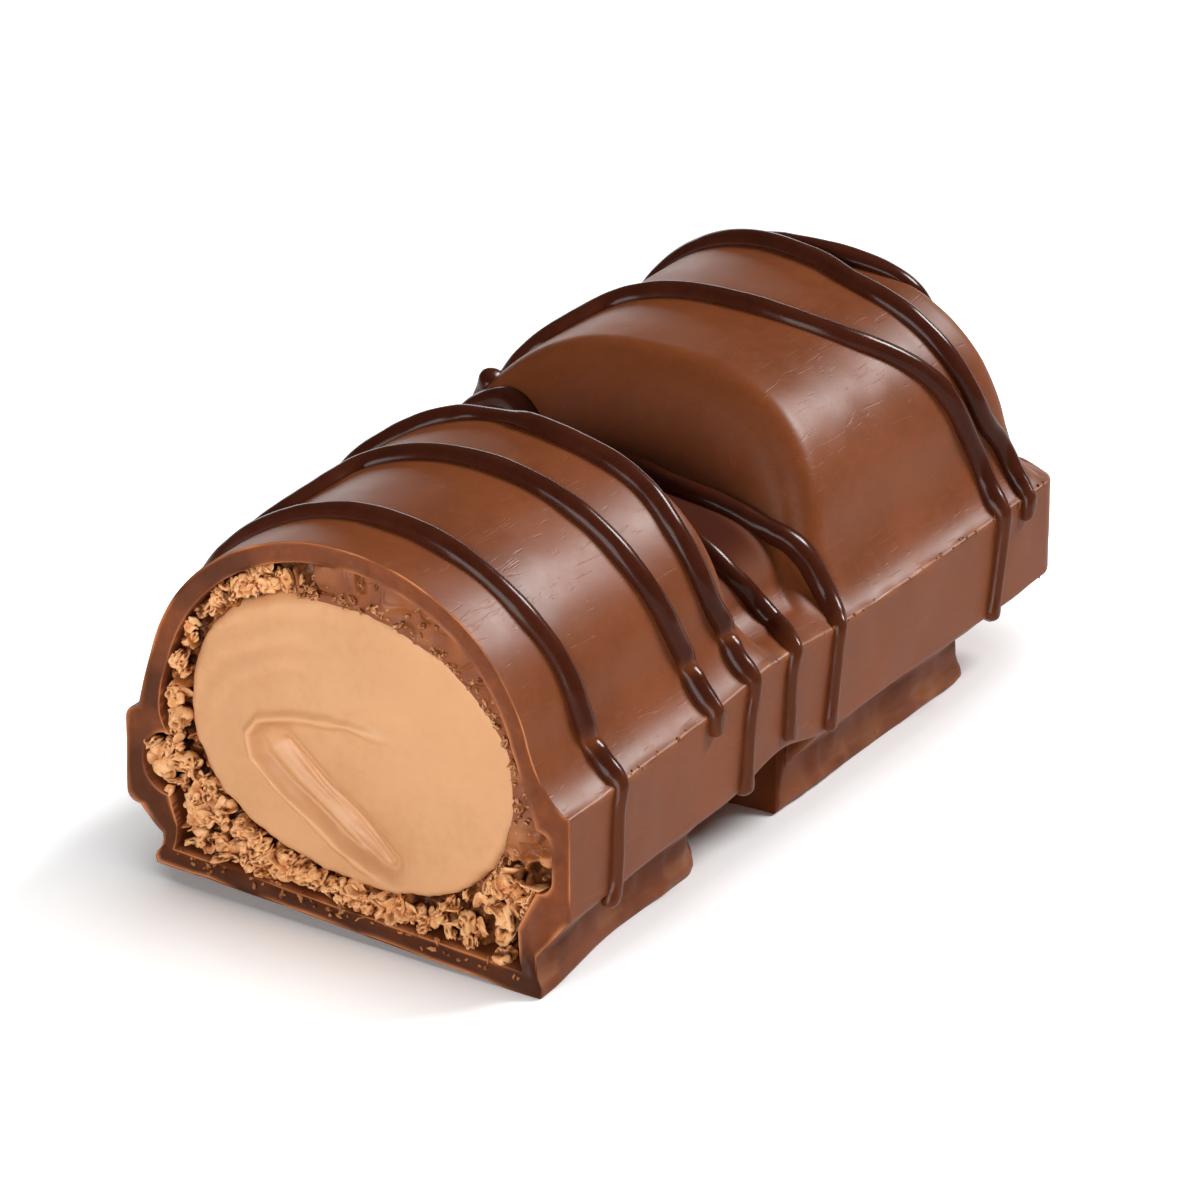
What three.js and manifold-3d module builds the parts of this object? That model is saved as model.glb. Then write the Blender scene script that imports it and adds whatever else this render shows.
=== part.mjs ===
// Half of a chocolate-coated wafer bar, cut straight across its first segment.
// A milk chocolate coating with dark drizzle, a crisp wafer layer under it and a nut cream filling.
// Millimetres, +Z up. X runs along the bar from the cut to the far end, and the bar stands on the
// flat undersides of its two feet. Side -1 is the long side towards -Y, and side 1 the one towards +Y.

import * as THREE from "three";
import { mergeVertices } from "three/addons/utils/BufferGeometryUtils.js";
import Module from "manifold-3d";

const wasm = await Module();
wasm.setup();

// Whole bar
const LENGTH = 44.0; // from the cut to the far end
const WIDTH = 23.2; // across the flange

// Domes, one on each segment
const CROWN = 18.3; // top of the domes above the floor
const DOME_WIDTH = 20.2; // across a dome at its foot
const DOME_OFFSET = 0.3; // the domes sit this far towards +Y
const DOME_BASE = 8.9; // height from which the dome's curve is drawn
const DOME_POWERS = [2.02, 2.5]; // exponent of the section at the cut and beyond, 2 is an ellipse
const DOME_FOOT_ANGLE = 0.24; // where the curve hands over to the ledge, in radians
const DOME_CORNER = 1.6; // plan radius of the domes' upright corners
const SHOULDER = 1.1; // rounding of the domes' upper edges

// Flange, the band that runs round the bar between the domes and the feet
const FLANGE_TOP = 8.25;
const FLANGE_BOTTOM = 3.35;
const FLANGE_CORNER = 1.3; // plan radius of its far corners
const FLANGE_ROUNDS = { "-1": 0.15, 1: 0.7 }; // radius of its edges on the two sides
const FLANGE_KEEL = 1.3; // radius of the far end's lower edge
// How its upper and lower edges wander: a rise within run of the cut, and a swell under the valley
const TOP_WAVE = { rise: 0.2, run: 10, swell: 0.5, at: 17.8, spread: 5 };
const BOTTOM_WAVE = { rise: 0.3, run: 12, swell: 0.75, at: 18, spread: 2.6 };
const LEDGE_RISE = 0.95; // how high the ledge's corner point lies above the edge
const LEDGE_FLARE = 0.3; // how far out from the dome's foot that point lies

// Sides of the domes that face along the bar: foot and floor are where they meet the valley or the
// rear ledge, lean is their run over rise, and way is 1 where the dome lies towards -X. The valley
// holds a low arch between the domes, and neck is its height as a share of theirs.
const NEAR_FACE = { foot: 17.8, floor: 9.3, lean: 0.09, way: 1, neck: 0.54 };
const FAR_FACE = { foot: 22.4, floor: 9.3, lean: 0.42, way: -1, neck: 0.54 };
const REAR_FACE = { foot: 43.4, floor: 8.8, lean: 0.14, way: 1, neck: 0 };
const VALLEY_MIDDLE = (NEAR_FACE.foot + FAR_FACE.foot) / 2;
const NECK_INSET = 0.9; // the arch in the valley is this much narrower than the domes on each side
const FACE_HOLLOW = 1.0; // rounding between a face and the floor at its foot

// Feet, one under each segment, and the arch between them
const FOOT_WIDTH = 19.7;
const FOOT_LIP = 0.2; // the lower edge of the foot's side stands out this much
const FOOT_STEP = 0.1; // its side stays at least this far inside the flange's lower edge
const FOOT_NECK = 1.65; // height of the slope between the flange and the foot's side
const NEAR_FOOT_END = 14.2;
const FAR_FOOT_START = 21.8;
const FAR_FOOT_END = 38.5;
const FOOT_CORNER = 2.0; // plan radius of a foot's rear corners
const FOOT_WALL = 0.15; // run of a foot's end wall
const ARCH_STEP = 1; // where a foot has ended, its side's points spread this far inwards
const FOOT_REACH = 1.85; // the far foot's front edge spreads this far forward at the floor
const FOOT_REACH_RUN = 5; // length over which that fades

// Stations of the sections along the bar
const SLOPE_END = 28.5; // past the far dome's front slope
const REAR_START = 40.2; // before the rear slope
const LONG_COUNTS = [5, 3]; // sections along the near and the far segment's even stretch
const FINE_STEP = 0.7; // beside a foot's end
const END_STEP = 0.2; // before the far end

// Layers
const COATING = 0.95; // chocolate thickness
const GAP = 0.3; // clearance between two layers
const BULGE_ROUND = 0.7; // extra radius of the flange's inner edges, as a share of the inset
const LEDGE_SHARE = 0.5; // the part of the inset that the ledge's inner corner takes sideways

// Filling, an egg-shaped plug that ends inside the cut segment
const CREAM_HALF = [8.6, 6.75]; // half its width and height
const CREAM_MIDDLE = [-0.1, 8.8]; // y and z of its axis
const CREAM_POWER = 2.1;
const CREAM_TILT = 0.06; // it leans up towards +Y by this slope
const CREAM_END = 13.8;
const CREAM_ROUND = 8; // length over which its end is rounded
const CREAM_RECESS = 0.3; // its face lies this far behind the cut
const CREAM_CELL = 0.68; // spacing of the points on its face

// Swirl in the filling's face, as [y, z] paths: a raised hooked ridge and the scoop beside it
const RIDGE = [
  [-2.3, 2.3], [0.8, 3.8], [3.3, 5.7], [4.9, 7.2], [5.1, 8.3],
  [4.5, 9.1], [2.6, 9.7], [-0.2, 9.9], [-2.7, 9.4],
];
const RIDGE_SIZE = [0.45, 0.4]; // height and half width
const SCOOP = [[-2.0, 3.6], [-0.4, 4.9], [1.6, 6.5], [3.4, 8.2]];
const SCOOP_SIZE = [0.65, 1.1]; // depth and half width
const FACE_SWELL = 0.2; // depth of the broad hollows of the face

// Broken edge of the wafer at the cut
const CRAG_CELL = 1.04; // size of one crag
const CRAG_DEPTHS = [0.15, 1.35]; // least and greatest depth behind the cut

// The block that shapes a cut face: its width, its height, its lower edge and how far it stands out
const CUTTER = { width: 24, height: 21, foot: -1.5, front: -6 };

// The base at the cut: its -Y side is drawn forward and out, and its +Y side lifts off the floor
const TOE_FORWARD = 1.3;
const TOE_OUT = 0.8;
const HEEL_LIFT = 0.9;
const TOE_RISE = 4.2; // height at which the pull has died out
const TOE_RUN = 6.5; // and the length
const TOE_SIDES = [10, -10]; // from this y at the heel to this y at the toe it goes over
const TOE_EDGE = 8; // width over which the outward pull grows from the middle

// Drizzle strands
const STRAND_STEP = 2.2; // distance between two sections of a strand
const STRAND_WIDTH = 1.25; // on the domes
const STRAND_THIN = 0.8; // on the flange
const THIN_FROM = 1.8; // place from which a strand thins towards the flange
const THIN_RUN = 0.4; // and over how much of the place
const STRAND_TIP = 0.6; // length over which an end tapers
const TIP_WIDTH = 0.35; // width left at its very end, as a share
const FINE_STEPS = 24; // points for each pair of a strand's curve
// A strand's section in widths, as [across, up] from the surface
const STRAND_SECTION = [[0, 0.52], [0.44, 0.26], [0.4, -0.4], [-0.4, -0.4], [-0.44, 0.26]];

// Strands as [place, x] pairs. The place runs from -3, the flange's lower edge at -Y, over -2, its
// upper edge, and 0, the crown, to 3 at the other side. Beyond 3 it is millimetres of hanging drop.
const STRANDS = [
  [
    [3.2, 3.2], [2.1, 3.2], [0.9, 3.2], [0.5, 3.3], [0.3, 3.5], [0.12, 3.6],
    [-0.2, 3.5], [-0.55, 3.5], [-0.86, 4], [-1.38, 4.1], [-1.94, 4.2], [-2.23, 3.8],
    [-2.69, 3.7], [-3.7, 3.1],
  ],
  [
    [2.5, 4.8], [2.1, 4.8], [1, 4.9], [0.6, 5.4], [0.5, 6.8], [0.43, 8.8],
    [0.36, 10.4], [0.06, 11.2], [-0.23, 11], [-0.63, 11.1], [-0.96, 11.9], [-1.18, 12.4],
    [-1.58, 12.3], [-2, 12.2], [-2.25, 12],
  ],
  [
    [3.1, 13.4], [2.1, 13.4], [1, 13.5], [0.6, 13.9], [0.42, 15], [0.27, 15.9],
    [0.1, 16.2], [-0.16, 15.5], [-0.46, 15.3], [-0.67, 14.9], [-0.88, 15], [-1.22, 15.8],
    [-1.61, 15.5], [-2, 15.5], [-2.4, 15], [-3.4, 14.6],
  ],
  [
    [2.9, 19.9], [2.1, 19.9], [1, 19.8], [0, 19.4], [-0.5, 19.2], [-0.82, 19.3],
    [-0.99, 20], [-1.53, 20.2], [-1.96, 19.3], [-2.2, 18.7], [-2.96, 18.5],
  ],
  [
    [2.9, 25], [2.1, 25], [0.9, 25.1], [0.6, 25], [0.3, 24.1], [-0.07, 23.1],
    [-0.25, 22.5], [-0.63, 23.3], [-1.17, 24], [-1.5, 24.1], [-1.88, 23.7], [-2.05, 23],
    [-2.43, 22.6], [-3, 22.1],
  ],
  [
    [2.6, 26.7], [2.1, 26.7], [1, 26.6], [0.8, 26.5], [0.66, 26.3],
  ],
  [
    [2.9, 28.2], [2.1, 28.2], [1.1, 28.3], [0.7, 28.6], [0.5, 30.6], [0.38, 32.8],
    [0.12, 33.4], [-0.14, 33.4], [-0.31, 33.9], [-0.86, 37.8], [-1.3, 38.8], [-2.02, 38.4],
    [-3.3, 37],
  ],
  [
    [2.8, 40.6], [2.1, 40.6], [1, 40.9], [0.6, 41.2], [0.3, 41.1], [0.12, 40.8],
    [-0.05, 39.9], [-0.27, 38.8], [-0.58, 39], [-0.9, 39.6], [-1.3, 41], [-1.8, 41],
    [-2.25, 40.4],
  ],
  [
    [2.6, 42.3], [2.1, 42.3], [1.3, 42.1], [0.3, 41.4], [-0.05, 41], [-0.3, 41.4],
    [-0.45, 42.2], [-0.6, 42.8], [-0.8, 43.1],
  ],
];

const SKIN_STOPS = [...steps(0, 1, 8), 1, 1.3, 1.6, 1.85, 2, 2.1, 2.9, 3, 3.5, 4, 4.7, 5, 6];
const CORE_STOPS = [...steps(0, 1, 5), 1, 1.5, 2, 2.3, 2.7, 3, 4, 4.8, 5.1, 6];

function clamp01(t) {
  return Math.min(1, Math.max(0, t));
}

function mix(a, b, t) {
  return a + (b - a) * t;
}

function smooth(t) {
  return clamp01(t) ** 2 * (3 - 2 * clamp01(t));
}

function bell(t) {
  return Math.exp(-t * t);
}

function steps(from, to, count) {
  return Array.from({ length: count }, (_, i) => mix(from, to, i / count));
}

// The lower of two heights, with their meeting edge rounded off over r
function softMin(a, b, r) {
  const h = clamp01(0.5 + (b - a) / (2 * r));
  return mix(b, a, h) - r * h * (1 - h);
}

// A fixed pseudo-random value from 0 to 1 for a cell of a grid
function chance(i, j) {
  const v = Math.sin(i * 127.1 + j * 311.7) * 43758.5453;
  return v - Math.floor(v);
}

// How far a rounded corner has drawn a side in at x
function cornerInset(x, end, radius) {
  const past = clamp01((x - (end - radius)) / radius);
  return radius * (1 - Math.sqrt(1 - past ** 2));
}

// In what follows, inset is how far a surface lies inside the outer skin
function flangeHalf(x, inset) {
  return WIDTH / 2 - cornerInset(x, LENGTH - inset, FLANGE_CORNER);
}

function wave(x, { rise, run, swell, at, spread }) {
  return rise * smooth(x / run) + swell * bell((x - at) / spread);
}

function flangeTop(x) {
  return FLANGE_TOP + wave(x, TOP_WAVE);
}

function flangeBottom(x, inset) {
  return FLANGE_BOTTOM + wave(x, BOTTOM_WAVE) + cornerInset(x, LENGTH - inset, FLANGE_KEEL);
}

// The faces that end the dome at x
function facesAt(x) {
  return x < VALLEY_MIDDLE ? [NEAR_FACE] : [FAR_FACE, REAR_FACE];
}

// The dome's half width at x and height z, drawn in where its upright corners turn
function domeHalf(x, z, inset) {
  const turn = ({ foot, floor, lean, way, neck }) => {
    const corner = cornerInset(way * x, way * foot - lean * (z - floor) - inset, DOME_CORNER);
    return neck > 0 ? Math.min(corner, NECK_INSET) : corner;
  };
  return DOME_WIDTH / 2 - Math.max(...facesAt(x).map(turn));
}

// Lowers a height over the flange's edge to what the faces and their floor allow at x
function underFaces(x, height, inset) {
  return facesAt(x).reduce((result, { foot, floor, lean, way, neck }) => {
    const spread = Math.hypot(1, 1 / lean);
    const ground = floor - flangeTop(x);
    const level = Math.max(ground, neck * height);
    const slope = ground + (way * (foot - x)) / lean - inset * (spread - 1);
    const room = -softMin(-slope, -level, FACE_HOLLOW);
    return softMin(result, room, Math.min(SHOULDER * spread, room));
  }, height);
}

// How much of a foot there is at x, from none in the arch to all of it, and its half width
function footAt(x, inset) {
  const near = 1 - clamp01((x - NEAR_FOOT_END + inset) / FOOT_WALL);
  const begun = clamp01((x - FAR_FOOT_START - inset) / FOOT_WALL + 1);
  const far = begun * (1 - clamp01((x - FAR_FOOT_END + inset) / FOOT_WALL));
  const end = (x < VALLEY_MIDDLE ? NEAR_FOOT_END : FAR_FOOT_END) - inset;
  const half = FOOT_WIDTH / 2 - Math.min(cornerInset(x, end, FOOT_CORNER), FOOT_CORNER / 2);
  return { depth: Math.max(near, far), half };
}

// The dome's section, from the crown at t = 0 to its foot at t = 1
function domePoint(x, side, t, inset) {
  const angle = mix(Math.PI / 2, DOME_FOOT_ANGLE, t);
  const power = mix(...DOME_POWERS, smooth(x / FAR_FACE.foot));
  const z = mix(DOME_BASE, CROWN - inset, Math.sin(angle) ** (2 / power));
  const y = (domeHalf(x, z, inset) - inset) * Math.abs(Math.cos(angle)) ** (2 / power);
  return [side * y + DOME_OFFSET, z];
}

// The hollow curve from the dome's foot out to the flange's top edge
function ledgePoint(x, side, t, inset) {
  const start = domePoint(x, side, 1, inset);
  const out = domeHalf(x, start[1], inset) + LEDGE_FLARE - inset * LEDGE_SHARE;
  const bend = [side * out + DOME_OFFSET, flangeTop(x) + LEDGE_RISE - inset];
  const end = [side * (flangeHalf(x, inset) - edgeRound(side, inset) - inset), flangeTop(x) - inset];
  return start.map((v, i) => (1 - t) ** 2 * v + 2 * t * (1 - t) * bend[i] + t * t * end[i]);
}

function edgeRound(side, inset) {
  return FLANGE_ROUNDS[side] + BULGE_ROUND * inset;
}

// The flange's face between its two rounded edges
function flangePoint(x, side, t, inset) {
  const [top, bottom] = [flangeTop(x) - inset, flangeBottom(x, inset) + inset];
  const z = mix(top, bottom, t);
  const reach = (top - bottom) / 2;
  const round = Math.min(edgeRound(side, inset), reach);
  const drawn = cornerInset(Math.abs(z - (top + bottom) / 2), reach, round);
  return [side * (flangeHalf(x, inset) - edgeRound(side, inset) + round - inset - drawn), z];
}

// A point [y, z] of the half outline at x. Along it, 0 is the crown, 1 the dome's foot, 2 and 3 the
// flange's two edges, 4 and 5 the ends of the foot's side, and 6 the middle of the underside.
function outlinePoint(x, side, along, inset) {
  const top = flangeTop(x) - inset;
  const bottom = flangeBottom(x, inset) + inset;
  const { depth, half } = footAt(x, inset);
  const [edge] = flangePoint(x, side, 1, inset);
  const wall = Math.min(half - inset, side * edge - FOOT_STEP);
  const neck = bottom - FOOT_NECK * depth;
  const base = mix(bottom, inset, depth);
  const foot = (t) => wall + FOOT_LIP * depth * t ** 3 - ARCH_STEP * (1 - depth) * t;
  if (along < 2) {
    const [y, z] = along < 1 ? domePoint(x, side, along, inset) : ledgePoint(x, side, along - 1, inset);
    return [y, top + underFaces(x, z - top, inset)];
  }
  if (along < 3) return flangePoint(x, side, along - 2, inset);
  if (along < 4) return [mix(edge, side * wall, along - 3), mix(bottom, neck, along - 3)];
  if (along < 5) return [side * foot(along - 4), mix(neck, base, along - 4)];
  return [side * mix(foot(1), 0, along - 5), base];
}

// The far foot's front wall leans forward as it nears the floor
function footReach(x, z, inset) {
  const start = FAR_FOOT_START + inset;
  const low = clamp01(1 - z / flangeBottom(x, inset)) ** 1.5;
  const near = x < start - 2 * FOOT_WALL ? 0 : clamp01(1 - (x - start) / FOOT_REACH_RUN);
  return -FOOT_REACH * low * near;
}

// One closed ring of the outline at x, through the given stops on both sides
function ring(x, stops, inset) {
  const half = (side) => stops.map((along) => outlinePoint(x, side, along, inset));
  const right = half(-1);
  const left = half(1).slice(1, -1).reverse();
  return [...right, ...left].map(([y, z]) => new THREE.Vector3(x + footReach(x, z, inset), y, z));
}

// A closed mesh through rings of equally many points, each end shut by a fan
function loft(rings) {
  const count = rings[0].length;
  const middle = (points) => points.reduce((sum, p) => sum.add(p), new THREE.Vector3()).divideScalar(count);
  const points = [...rings.flat(), middle(rings[0]), middle(rings.at(-1))];
  const index = [];
  rings.slice(1).forEach((_, r) => {
    for (let i = 0; i < count; i++) {
      const [a, b] = [r * count + i, r * count + ((i + 1) % count)];
      index.push(a, b, a + count, b, b + count, a + count);
    }
  });
  const last = (rings.length - 1) * count;
  for (let i = 0; i < count; i++) {
    const next = (i + 1) % count;
    index.push(points.length - 2, next, i, points.length - 1, last + i, last + next);
  }
  const geometry = new THREE.BufferGeometry().setFromPoints(points);
  return geometry.setIndex(index);
}

function toSolid(geometry) {
  const merged = mergeVertices(geometry, 1e-4);
  const positions = merged.attributes.position.array;
  const mesh = { numProp: 3, vertProperties: positions, triVerts: new Uint32Array(merged.index.array) };
  return new wasm.Manifold(new wasm.Mesh(mesh));
}

function toGeometry(solid) {
  const { vertProperties, triVerts } = solid.getMesh();
  const geometry = new THREE.BufferGeometry();
  geometry.setAttribute("position", new THREE.BufferAttribute(new Float32Array(vertProperties), 3));
  return geometry.setIndex(new THREE.BufferAttribute(new Uint32Array(triVerts), 1));
}

// Stations along the bar where the feet, faces and corners of a surface at this inset need them
function stations(from, inset, [face, valley, slope, rear]) {
  const turns = [FOOT_CORNER, FINE_STEP, 0, -FOOT_WALL];
  const footEnd = (end) => turns.map((before) => end - inset - before);
  const farStart = FAR_FOOT_START + inset;
  return [
    ...steps(from, NEAR_FOOT_END - inset - FOOT_CORNER, LONG_COUNTS[0]),
    ...footEnd(NEAR_FOOT_END),
    ...steps(NEAR_FOOT_END + FINE_STEP, NEAR_FACE.foot, face),
    ...steps(NEAR_FACE.foot, farStart - FOOT_WALL, valley),
    farStart - FOOT_WALL,
    farStart,
    ...steps(farStart + FINE_STEP, SLOPE_END, slope),
    ...steps(SLOPE_END, FAR_FOOT_END - inset - FOOT_CORNER, LONG_COUNTS[1]),
    ...footEnd(FAR_FOOT_END),
    ...steps(REAR_START, LENGTH - inset - END_STEP, rear),
    LENGTH - inset - END_STEP,
    LENGTH - inset,
  ];
}

function shell(from, inset, stops, counts) {
  return toSolid(loft(stations(from, inset, counts).map((x) => ring(x, stops, inset))));
}

// The filling's outline at x, swollen by the given margin
function creamRing(x, margin) {
  const past = clamp01((x - (CREAM_END - CREAM_ROUND)) / CREAM_ROUND);
  const size = Math.max(Math.sqrt(1 - past ** 2), 0.03);
  const [halfY, halfZ] = CREAM_HALF.map((half) => half * size + margin);
  const turn = (a, half) => half * Math.sign(a) * Math.abs(a) ** (2 / CREAM_POWER);
  return steps(0, 2 * Math.PI, 30).map((angle) => {
    const y = turn(-Math.sin(angle), halfY);
    const z = turn(Math.cos(angle), halfZ);
    return new THREE.Vector3(x + past * margin, CREAM_MIDDLE[0] + y, CREAM_MIDDLE[1] + z + CREAM_TILT * y);
  });
}

function creamPlug(from, margin) {
  const rounded = steps(0, 1, 6).map((t) => CREAM_END - CREAM_ROUND * (1 - Math.sin((t * Math.PI) / 2)));
  return toSolid(loft([from, 3, ...rounded, CREAM_END].map((x) => creamRing(x, margin))));
}

// Distance from a point [y, z] to a path of such points
function pathDistance(path, y, z) {
  const point = new THREE.Vector3(y, z, 0);
  const near = new THREE.Vector3();
  const distances = path.slice(1).map(([toY, toZ], i) => {
    const line = new THREE.Line3(new THREE.Vector3(...path[i], 0), new THREE.Vector3(toY, toZ, 0));
    return line.closestPointToPoint(point, true, near).distanceTo(point);
  });
  return Math.min(...distances);
}

// How deep the filling's face lies behind the cut
function creamFace(y, z) {
  const ridge = RIDGE_SIZE[0] * bell(pathDistance(RIDGE, y, z) / RIDGE_SIZE[1]);
  const scoop = SCOOP_SIZE[0] * bell(pathDistance(SCOOP, y, z) / SCOOP_SIZE[1]);
  const swell = FACE_SWELL * Math.sin(y / 2.7 + 1) * Math.sin(z / 2.1);
  return CREAM_RECESS + swell + scoop - ridge;
}

function waferFace(y, z) {
  return mix(...CRAG_DEPTHS, chance(Math.round(y / CRAG_CELL), Math.round(z / CRAG_CELL)));
}

// A block in front of the cut whose far side follows depthAt(y, z), to be cut away
function faceCutter(depthAt, cell) {
  const [countY, countZ] = [Math.ceil(CUTTER.width / cell), Math.ceil(CUTTER.height / cell)];
  const at = (i, j) => [(i - countY / 2) * cell, j * cell + CUTTER.foot];
  const rows = Array.from({ length: countZ + 1 }, (_, j) => {
    const row = Array.from({ length: countY + 1 }, (_, i) => at(i, j));
    const front = row.map(([y, z]) => new THREE.Vector3(depthAt(y, z), y, z));
    const [first, last] = [row[0], row.at(-1)].map(([y, z]) => new THREE.Vector3(CUTTER.front, y, z));
    return [...front, last, first];
  });
  return toSolid(loft(rows));
}

// Catmull-Rom curve through [place, x] pairs, in fine steps
function strandCurve(pairs) {
  const curve = new THREE.CatmullRomCurve3(pairs.map(([place, x]) => new THREE.Vector3(place, x, 0)));
  return curve.getPoints(pairs.length * FINE_STEPS).map(({ x, y }) => [x, y]);
}

function strandPoint(place, x) {
  const along = Math.min(Math.abs(place), 3);
  const [y, z] = outlinePoint(x, Math.sign(place) || 1, along, 0);
  return new THREE.Vector3(x, y, z - Math.abs(place) + along);
}

// The surface's outward direction at a place on the bar
function surfaceNormal(place, x) {
  const reach = 0.06;
  const across = strandPoint(place + reach, x).sub(strandPoint(place - reach, x));
  const along = strandPoint(place, x + reach).sub(strandPoint(place, x - reach));
  const normal = across.cross(along).normalize();
  return normal.dot(strandPoint(place, x).sub(new THREE.Vector3(x, 0, 5))) < 0 ? normal.negate() : normal;
}

// Places along a strand, STRAND_STEP apart, each with its point and its distance from the start
function strandPlaces(pairs) {
  const fine = strandCurve(pairs).map(([place, x]) => ({ place, x, point: strandPoint(place, x) }));
  let run = 0;
  fine.forEach((spot, i) => {
    run += i ? spot.point.distanceTo(fine[i - 1].point) : 0;
    spot.run = run;
  });
  const count = Math.round(run / STRAND_STEP);
  const miss = (spot, at) => Math.abs(spot.run - at);
  const nearest = (at) => fine.reduce((best, spot) => (miss(spot, at) < miss(best, at) ? spot : best));
  const stops = [0, STRAND_TIP / 3, ...steps(0, run, count).slice(1), run - STRAND_TIP / 3, run];
  return stops.map((at) => ({ ...nearest(at), left: Math.min(at, run - at) }));
}

// One drizzle strand as a closed tube half sunk in the surface
function strandSolid(pairs) {
  const places = strandPlaces(pairs);
  const rings = places.map(({ place, x, point, left }, i) => {
    const [before, after] = [places[Math.max(i - 1, 0)], places[Math.min(i + 1, places.length - 1)]];
    const up = surfaceNormal(place, x);
    const across = after.point.clone().sub(before.point).cross(up).normalize();
    const full = mix(STRAND_WIDTH, STRAND_THIN, smooth((Math.abs(place) - THIN_FROM) / THIN_RUN));
    const tip = Math.sqrt(1 - (1 - clamp01(left / STRAND_TIP)) ** 2);
    const width = full * mix(TIP_WIDTH, 1, tip);
    const shift = ([a, b]) => across.clone().multiplyScalar(a * width).addScaledVector(up, b * width);
    return STRAND_SECTION.map((corner) => shift(corner).add(point));
  });
  return toSolid(loft(rings));
}

// Pulls the base at the cut forward and out at one side and up at the other
function pullBase(geometry) {
  const position = geometry.attributes.position;
  for (let i = 0; i < position.count; i++) {
    const [x, y, z] = [position.getX(i), position.getY(i), position.getZ(i)];
    const share = smooth(1 - z / TOE_RISE) * smooth(1 - x / TOE_RUN);
    const toe = clamp01((TOE_SIDES[0] - y) / (TOE_SIDES[0] - TOE_SIDES[1]));
    const out = clamp01(-y / TOE_EDGE);
    const pull = new THREE.Vector3(-TOE_FORWARD * toe, -TOE_OUT * out, HEEL_LIFT * (1 - toe));
    position.setXYZ(i, x + pull.x * share, y + pull.y * share, z + pull.z * share);
  }
  return geometry;
}

function part(name, solid, color, roughness) {
  const material = new THREE.MeshStandardMaterial({ color, roughness, metalness: 0 });
  const mesh = new THREE.Mesh(pullBase(toGeometry(solid)), material);
  mesh.name = name;
  return mesh;
}

function coatingSolid() {
  const skin = shell(0, 0, SKIN_STOPS, [5, 3, 7, 6]);
  const hollow = shell(-3, COATING, CORE_STOPS, [3, 2, 5, 3]);
  return STRANDS.reduce((solid, pairs) => solid.add(strandSolid(pairs)), skin.subtract(hollow));
}

function waferSolid() {
  const core = shell(-1, COATING + GAP, CORE_STOPS, [3, 2, 5, 3]);
  return core.subtract(creamPlug(-3, GAP)).subtract(faceCutter(waferFace, CRAG_CELL));
}

function creamSolid() {
  return creamPlug(-2, 0).subtract(faceCutter(creamFace, CREAM_CELL));
}

const group = new THREE.Group();
group.add(part("coating", coatingSolid(), 0x75432b, 0.38));
group.add(part("wafer", waferSolid(), 0xb27a48, 0.85));
group.add(part("cream", creamSolid(), 0xe0a879, 0.45));

// The origin lies in the middle under the bar
const box = new THREE.Box3().setFromObject(group);
const middle = box.getCenter(new THREE.Vector3());
group.children.forEach((mesh) => {
  mesh.geometry.translate(-middle.x, -middle.y, -box.min.z);
});

export default group;
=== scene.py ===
import itertools
import math

import bmesh
import bpy
import numpy as np
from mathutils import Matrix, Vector


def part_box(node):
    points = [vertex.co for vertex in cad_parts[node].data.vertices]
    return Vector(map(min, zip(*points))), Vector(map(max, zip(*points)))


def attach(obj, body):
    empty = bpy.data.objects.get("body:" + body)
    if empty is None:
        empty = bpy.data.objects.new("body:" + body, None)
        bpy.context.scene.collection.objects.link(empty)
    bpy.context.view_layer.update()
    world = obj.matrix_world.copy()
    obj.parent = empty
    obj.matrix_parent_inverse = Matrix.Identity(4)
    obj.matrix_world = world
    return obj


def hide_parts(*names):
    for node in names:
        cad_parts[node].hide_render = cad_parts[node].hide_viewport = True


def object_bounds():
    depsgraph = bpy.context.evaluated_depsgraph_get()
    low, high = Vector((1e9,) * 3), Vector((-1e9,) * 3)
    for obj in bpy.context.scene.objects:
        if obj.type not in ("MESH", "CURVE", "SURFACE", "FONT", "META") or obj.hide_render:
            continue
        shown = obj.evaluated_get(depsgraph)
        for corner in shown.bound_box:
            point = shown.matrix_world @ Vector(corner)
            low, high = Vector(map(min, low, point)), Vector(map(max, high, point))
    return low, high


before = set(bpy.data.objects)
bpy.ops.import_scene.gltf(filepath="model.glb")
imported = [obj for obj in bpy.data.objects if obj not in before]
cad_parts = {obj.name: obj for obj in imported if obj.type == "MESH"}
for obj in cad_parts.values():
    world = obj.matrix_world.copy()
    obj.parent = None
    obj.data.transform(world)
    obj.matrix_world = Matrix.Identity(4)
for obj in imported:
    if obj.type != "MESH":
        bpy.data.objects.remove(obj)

bl_info = {
    "name": "Wafer Bar Half",
    "version": (1, 0, 0),
    "blender": (4, 5, 0),
    "location": "3D View > Sidebar > Wafer Bar",
    "description": "Dresses half of a chocolate-coated wafer bar",
    "category": "Object",
}

CAD_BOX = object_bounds()
MM = 0.001

# The bar's own millimetres: x from the cut to the far end, y across, z up from the floor.
LENGTH, WIDTH, CROWN = 44.0, 23.2, 18.3
DOME_WIDTH, DOME_OFFSET, DOME_BASE = 20.2, 0.3, 8.9
DOME_POWERS, DOME_FOOT_ANGLE, DOME_CORNER, SHOULDER = (2.02, 2.5), 0.24, 1.6, 1.1
FLANGE_TOP, FLANGE_BOTTOM, FLANGE_CORNER, FLANGE_KEEL = 8.25, 3.35, 1.3, 1.3
FLANGE_ROUNDS = (0.15, 0.7)
TOP_WAVE = (0.2, 10, 0.5, 17.8, 5)
BOTTOM_WAVE = (0.3, 12, 0.75, 18, 2.6)
LEDGE_RISE, LEDGE_FLARE, LEDGE_SHARE, BULGE_ROUND = 0.95, 0.3, 0.5, 0.7
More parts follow.
